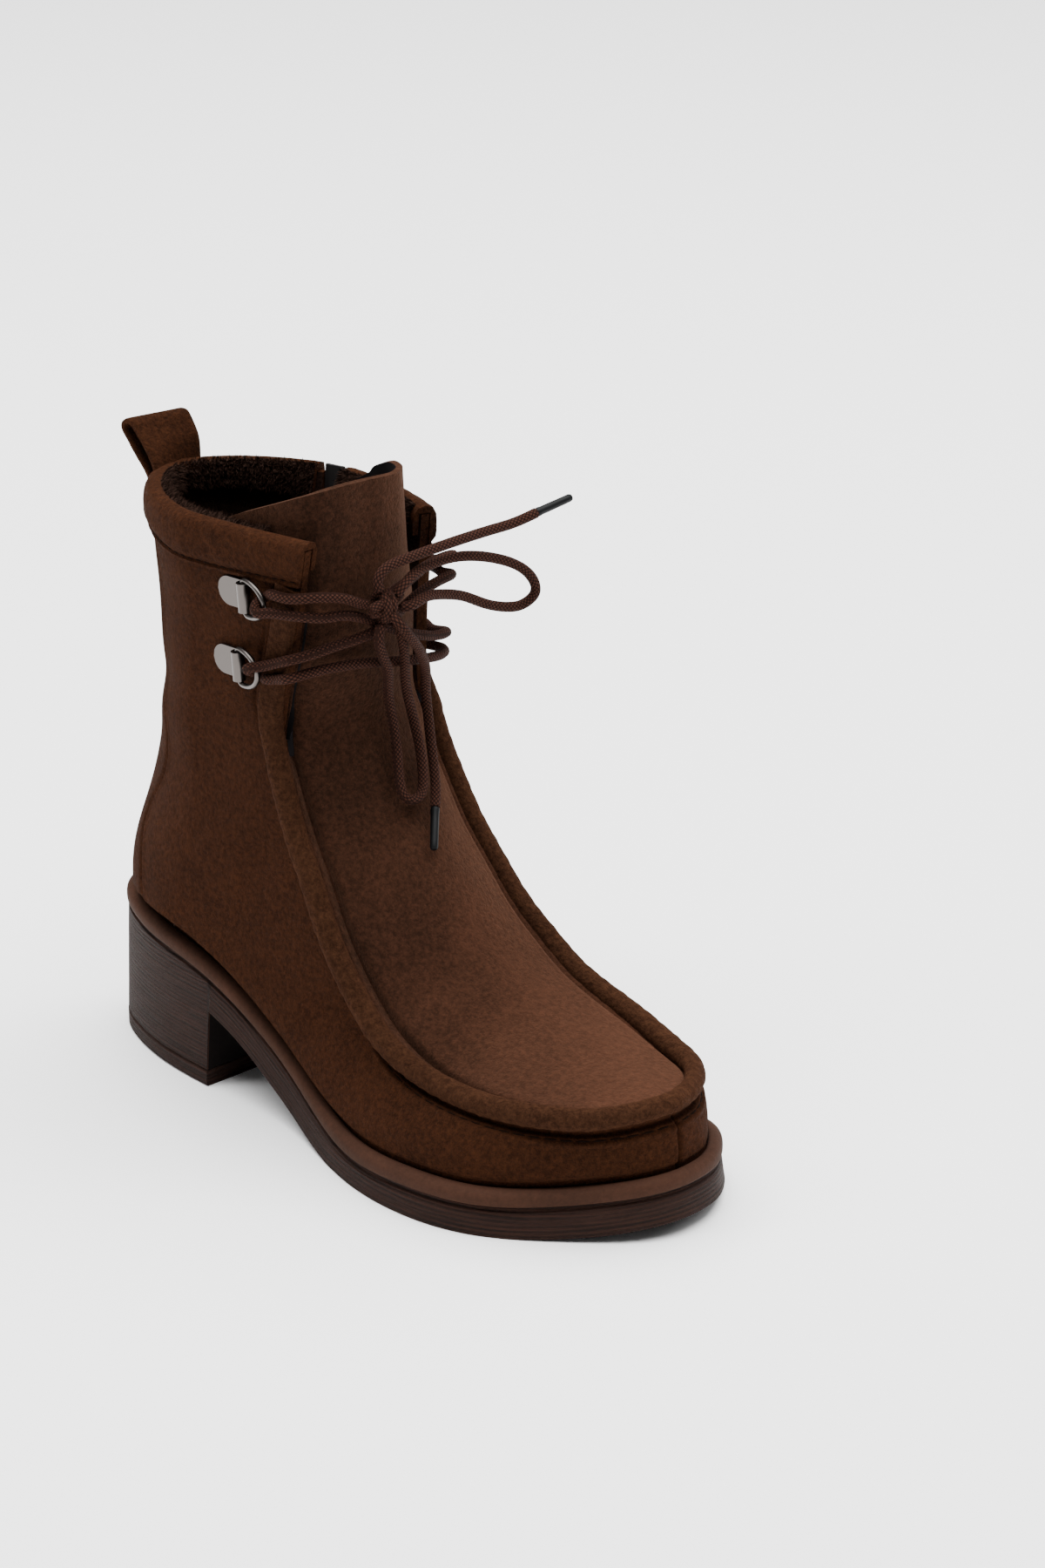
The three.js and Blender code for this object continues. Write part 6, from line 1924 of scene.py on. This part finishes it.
@dataclass
class Zip(SubAssembly):
    """Tape and coil in the inner wall's slot; the slider and pull keep their own nodes."""

    pitch: float = 1.5
    tooth_reach: float = 2.3
    tape_thickness: float = 1.2

    def over_line(self, up: Array, across: Array, lift: Array) -> Array:
        """Points over the wall: rows up the zip's line, columns across it in mm with their own lift."""
        s = self.s
        x = self.last.x_at(self.last.zip_along(up))[:, None]
        z = (s.seat_height + up * s.shaft_height)[:, None]
        return self.last.on_wall(x + across, z + 0 * across, Side.INNER, lift + 0 * x)

    def tape(self) -> None:
        """Tape: a thin sheet set into the slot, with a fine raised edge beside the coil."""
        s = self.s
        up = np.linspace(ZIP_LINE[0][0] + 0.002, 0.995, 80)
        across = np.linspace(-1, 1, 15)
        lift = -s.zip_depth + 0.25 * hump(np.abs(across), 0.75, 0.12)
        points = self.over_line(up, across * (s.zip_slot / 2 - s.gap), lift)
        normal = grid_normals(points, np.array([0.0, 1.0, 0.0]))
        patch = thick_sheet(points, normal, self.tape_thickness)
        self.shop.piece("zip_woven_tape", [patch], self.palette.zip_black, "zip_black", ["zip_tape"],
                        merge=True)

    def coil(self) -> None:
        """Coil: a row of small arches across the tape, one for each tooth."""
        s = self.s
        low, high = ZIP_LINE[0][0] + 3 / s.shaft_height, 0.945 - 6 / s.shaft_height
        count = int((high - low) * s.shaft_height / self.pitch)
        turn = np.linspace(0, np.pi, 7)
        across, lift = -np.cos(turn) * self.tooth_reach, -0.3 + np.sin(turn) * 1.35
        arch = self.over_line(np.linspace(low, high, count), across, lift)
        self.shop.piece("zip_coil_teeth", [tube(path, 0.5, 6) for path in arch], self.palette.zip_black,
                        "zip_black", ["zip_coil"])

    def build(self) -> None:
        """Makes the tape and coil."""
        self.tape()
        self.coil()


def placed(right: Array, up: Array, back: Array, place: Sequence[float]) -> Matrix:
    """World matrix of an object with these axes at a place."""
    rows = np.eye(4)
    rows[:3] = np.stack([right, up, back, place], axis=1)
    return Matrix(rows.tolist())


@dataclass
class Studio:
    """Camera at the photograph's angle, a white floor and soft lights."""

    azimuth: float = math.radians(45.08)
    elevation: float = math.radians(20.82)
    roll: float = math.radians(0.266)
    eye: Triple = (1.0959, -0.9422, 0.6385)
    lens: float = 104.0
    aim: Triple = (0.07, 0.0, 0.08)
    world_strength: float = 0.2
    floor_half: float = 40.0
    lights: tuple = (
        # name, place, width, power
        ("top_softbox", (0.0, 0.2, 2.8), 3.6, 400),
        ("key_softbox", (-0.9, -1.5, 1.5), 0.9, 10),
        ("rim_softbox", (1.3, 1.4, 1.4), 0.9, 10),
    )

    def camera(self) -> None:
        """Looks along the photograph's line of sight, with its small roll."""
        data = bpy.data.cameras.new("photo_camera")
        data.sensor_fit = "VERTICAL"
        data.sensor_height = 36.0
        data.lens = self.lens
        a, e = self.azimuth, self.elevation
        back = np.array([math.sin(a) * math.cos(e), -math.cos(a) * math.cos(e), math.sin(e)])
        level = np.array([math.cos(a), math.sin(a), 0.0])
        upright = np.cross(back, level)
        c, s = math.cos(-self.roll), math.sin(-self.roll)
        right, up = level * c + upright * s, upright * c - level * s
        camera = bpy.data.objects.new("photo_camera", data)
        camera.matrix_world = placed(right, up, back, self.eye)
        show(camera)
        bpy.context.scene.camera = camera

    def floor(self) -> None:
        """Wide white floor, kept off the boot's own size."""
        material, _, _ = Finish("studio_white", "fdfdfd", 0.9, specular=0.1).start()
        mesh = bpy.data.meshes.new("studio_floor")
        half = self.floor_half
        corners = [(x * half, y * half, 0) for x, y in ((-1, -1), (1, -1), (1, 1), (-1, 1))]
        mesh.from_pydata(corners, [], [(0, 1, 2, 3)])
        mesh.materials.append(material)
        floor = bpy.data.objects.new("studio_floor", mesh)
        show(floor)

    def light(self, name: str, place: Triple, size: float, power: float) -> None:
        """Square area light that faces the boot."""
        data = bpy.data.lights.new(name, "AREA")
        data.size = size
        data.energy = power
        lamp = bpy.data.objects.new(name, data)
        spot = np.array(place)
        back = unit(spot - np.array(self.aim))
        right = unit(np.cross([0.0, 0.0, 1.0], back))
        up = np.cross(back, right)
        lamp.matrix_world = placed(right, up, back, spot)
        show(lamp)

    def build(self) -> None:
        """Makes the camera, floor, world and lights."""
        self.camera()
        self.floor()
        world = bpy.data.worlds.new("studio")
        world.use_nodes = True
        world.node_tree.nodes["Background"].inputs[0].default_value = (1, 1, 1, 1)
        world.node_tree.nodes["Background"].inputs[1].default_value = self.world_strength
        bpy.context.scene.world = world
        for name, place, size, power in self.lights:
            self.light(name, place, size, power)


def dress_nodes(frame: dict, palette: Palette) -> None:
    """Gives each CAD node that no piece stands for its finish."""
    finishes = {"insole": palette.pile, "zip_slider": palette.gunmetal, "zip_pull": palette.gunmetal}
    for name, material in finishes.items():
        node = frame["nodes"][name]
        node.data.materials.clear()
        node.data.materials.append(material)
        LOG.info("dressed node %s", name)


def main() -> None:
    """Builds the boot's looks in order."""
    logging.basicConfig(level=logging.INFO, format="%(message)s")
    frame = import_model()
    last = Last(BootSizes())
    shop = Workshop()
    palette = Palette()
    Studio().build()
    for part in (Lace, SoleUnit, Upper, Collar, Tongue, LacingRings, Zip):
        part(last, palette, shop).build()
    dress_nodes(frame, palette)
    LOG.info("%d pieces made", len(shop.made))


if __name__ == "__main__":
    main()
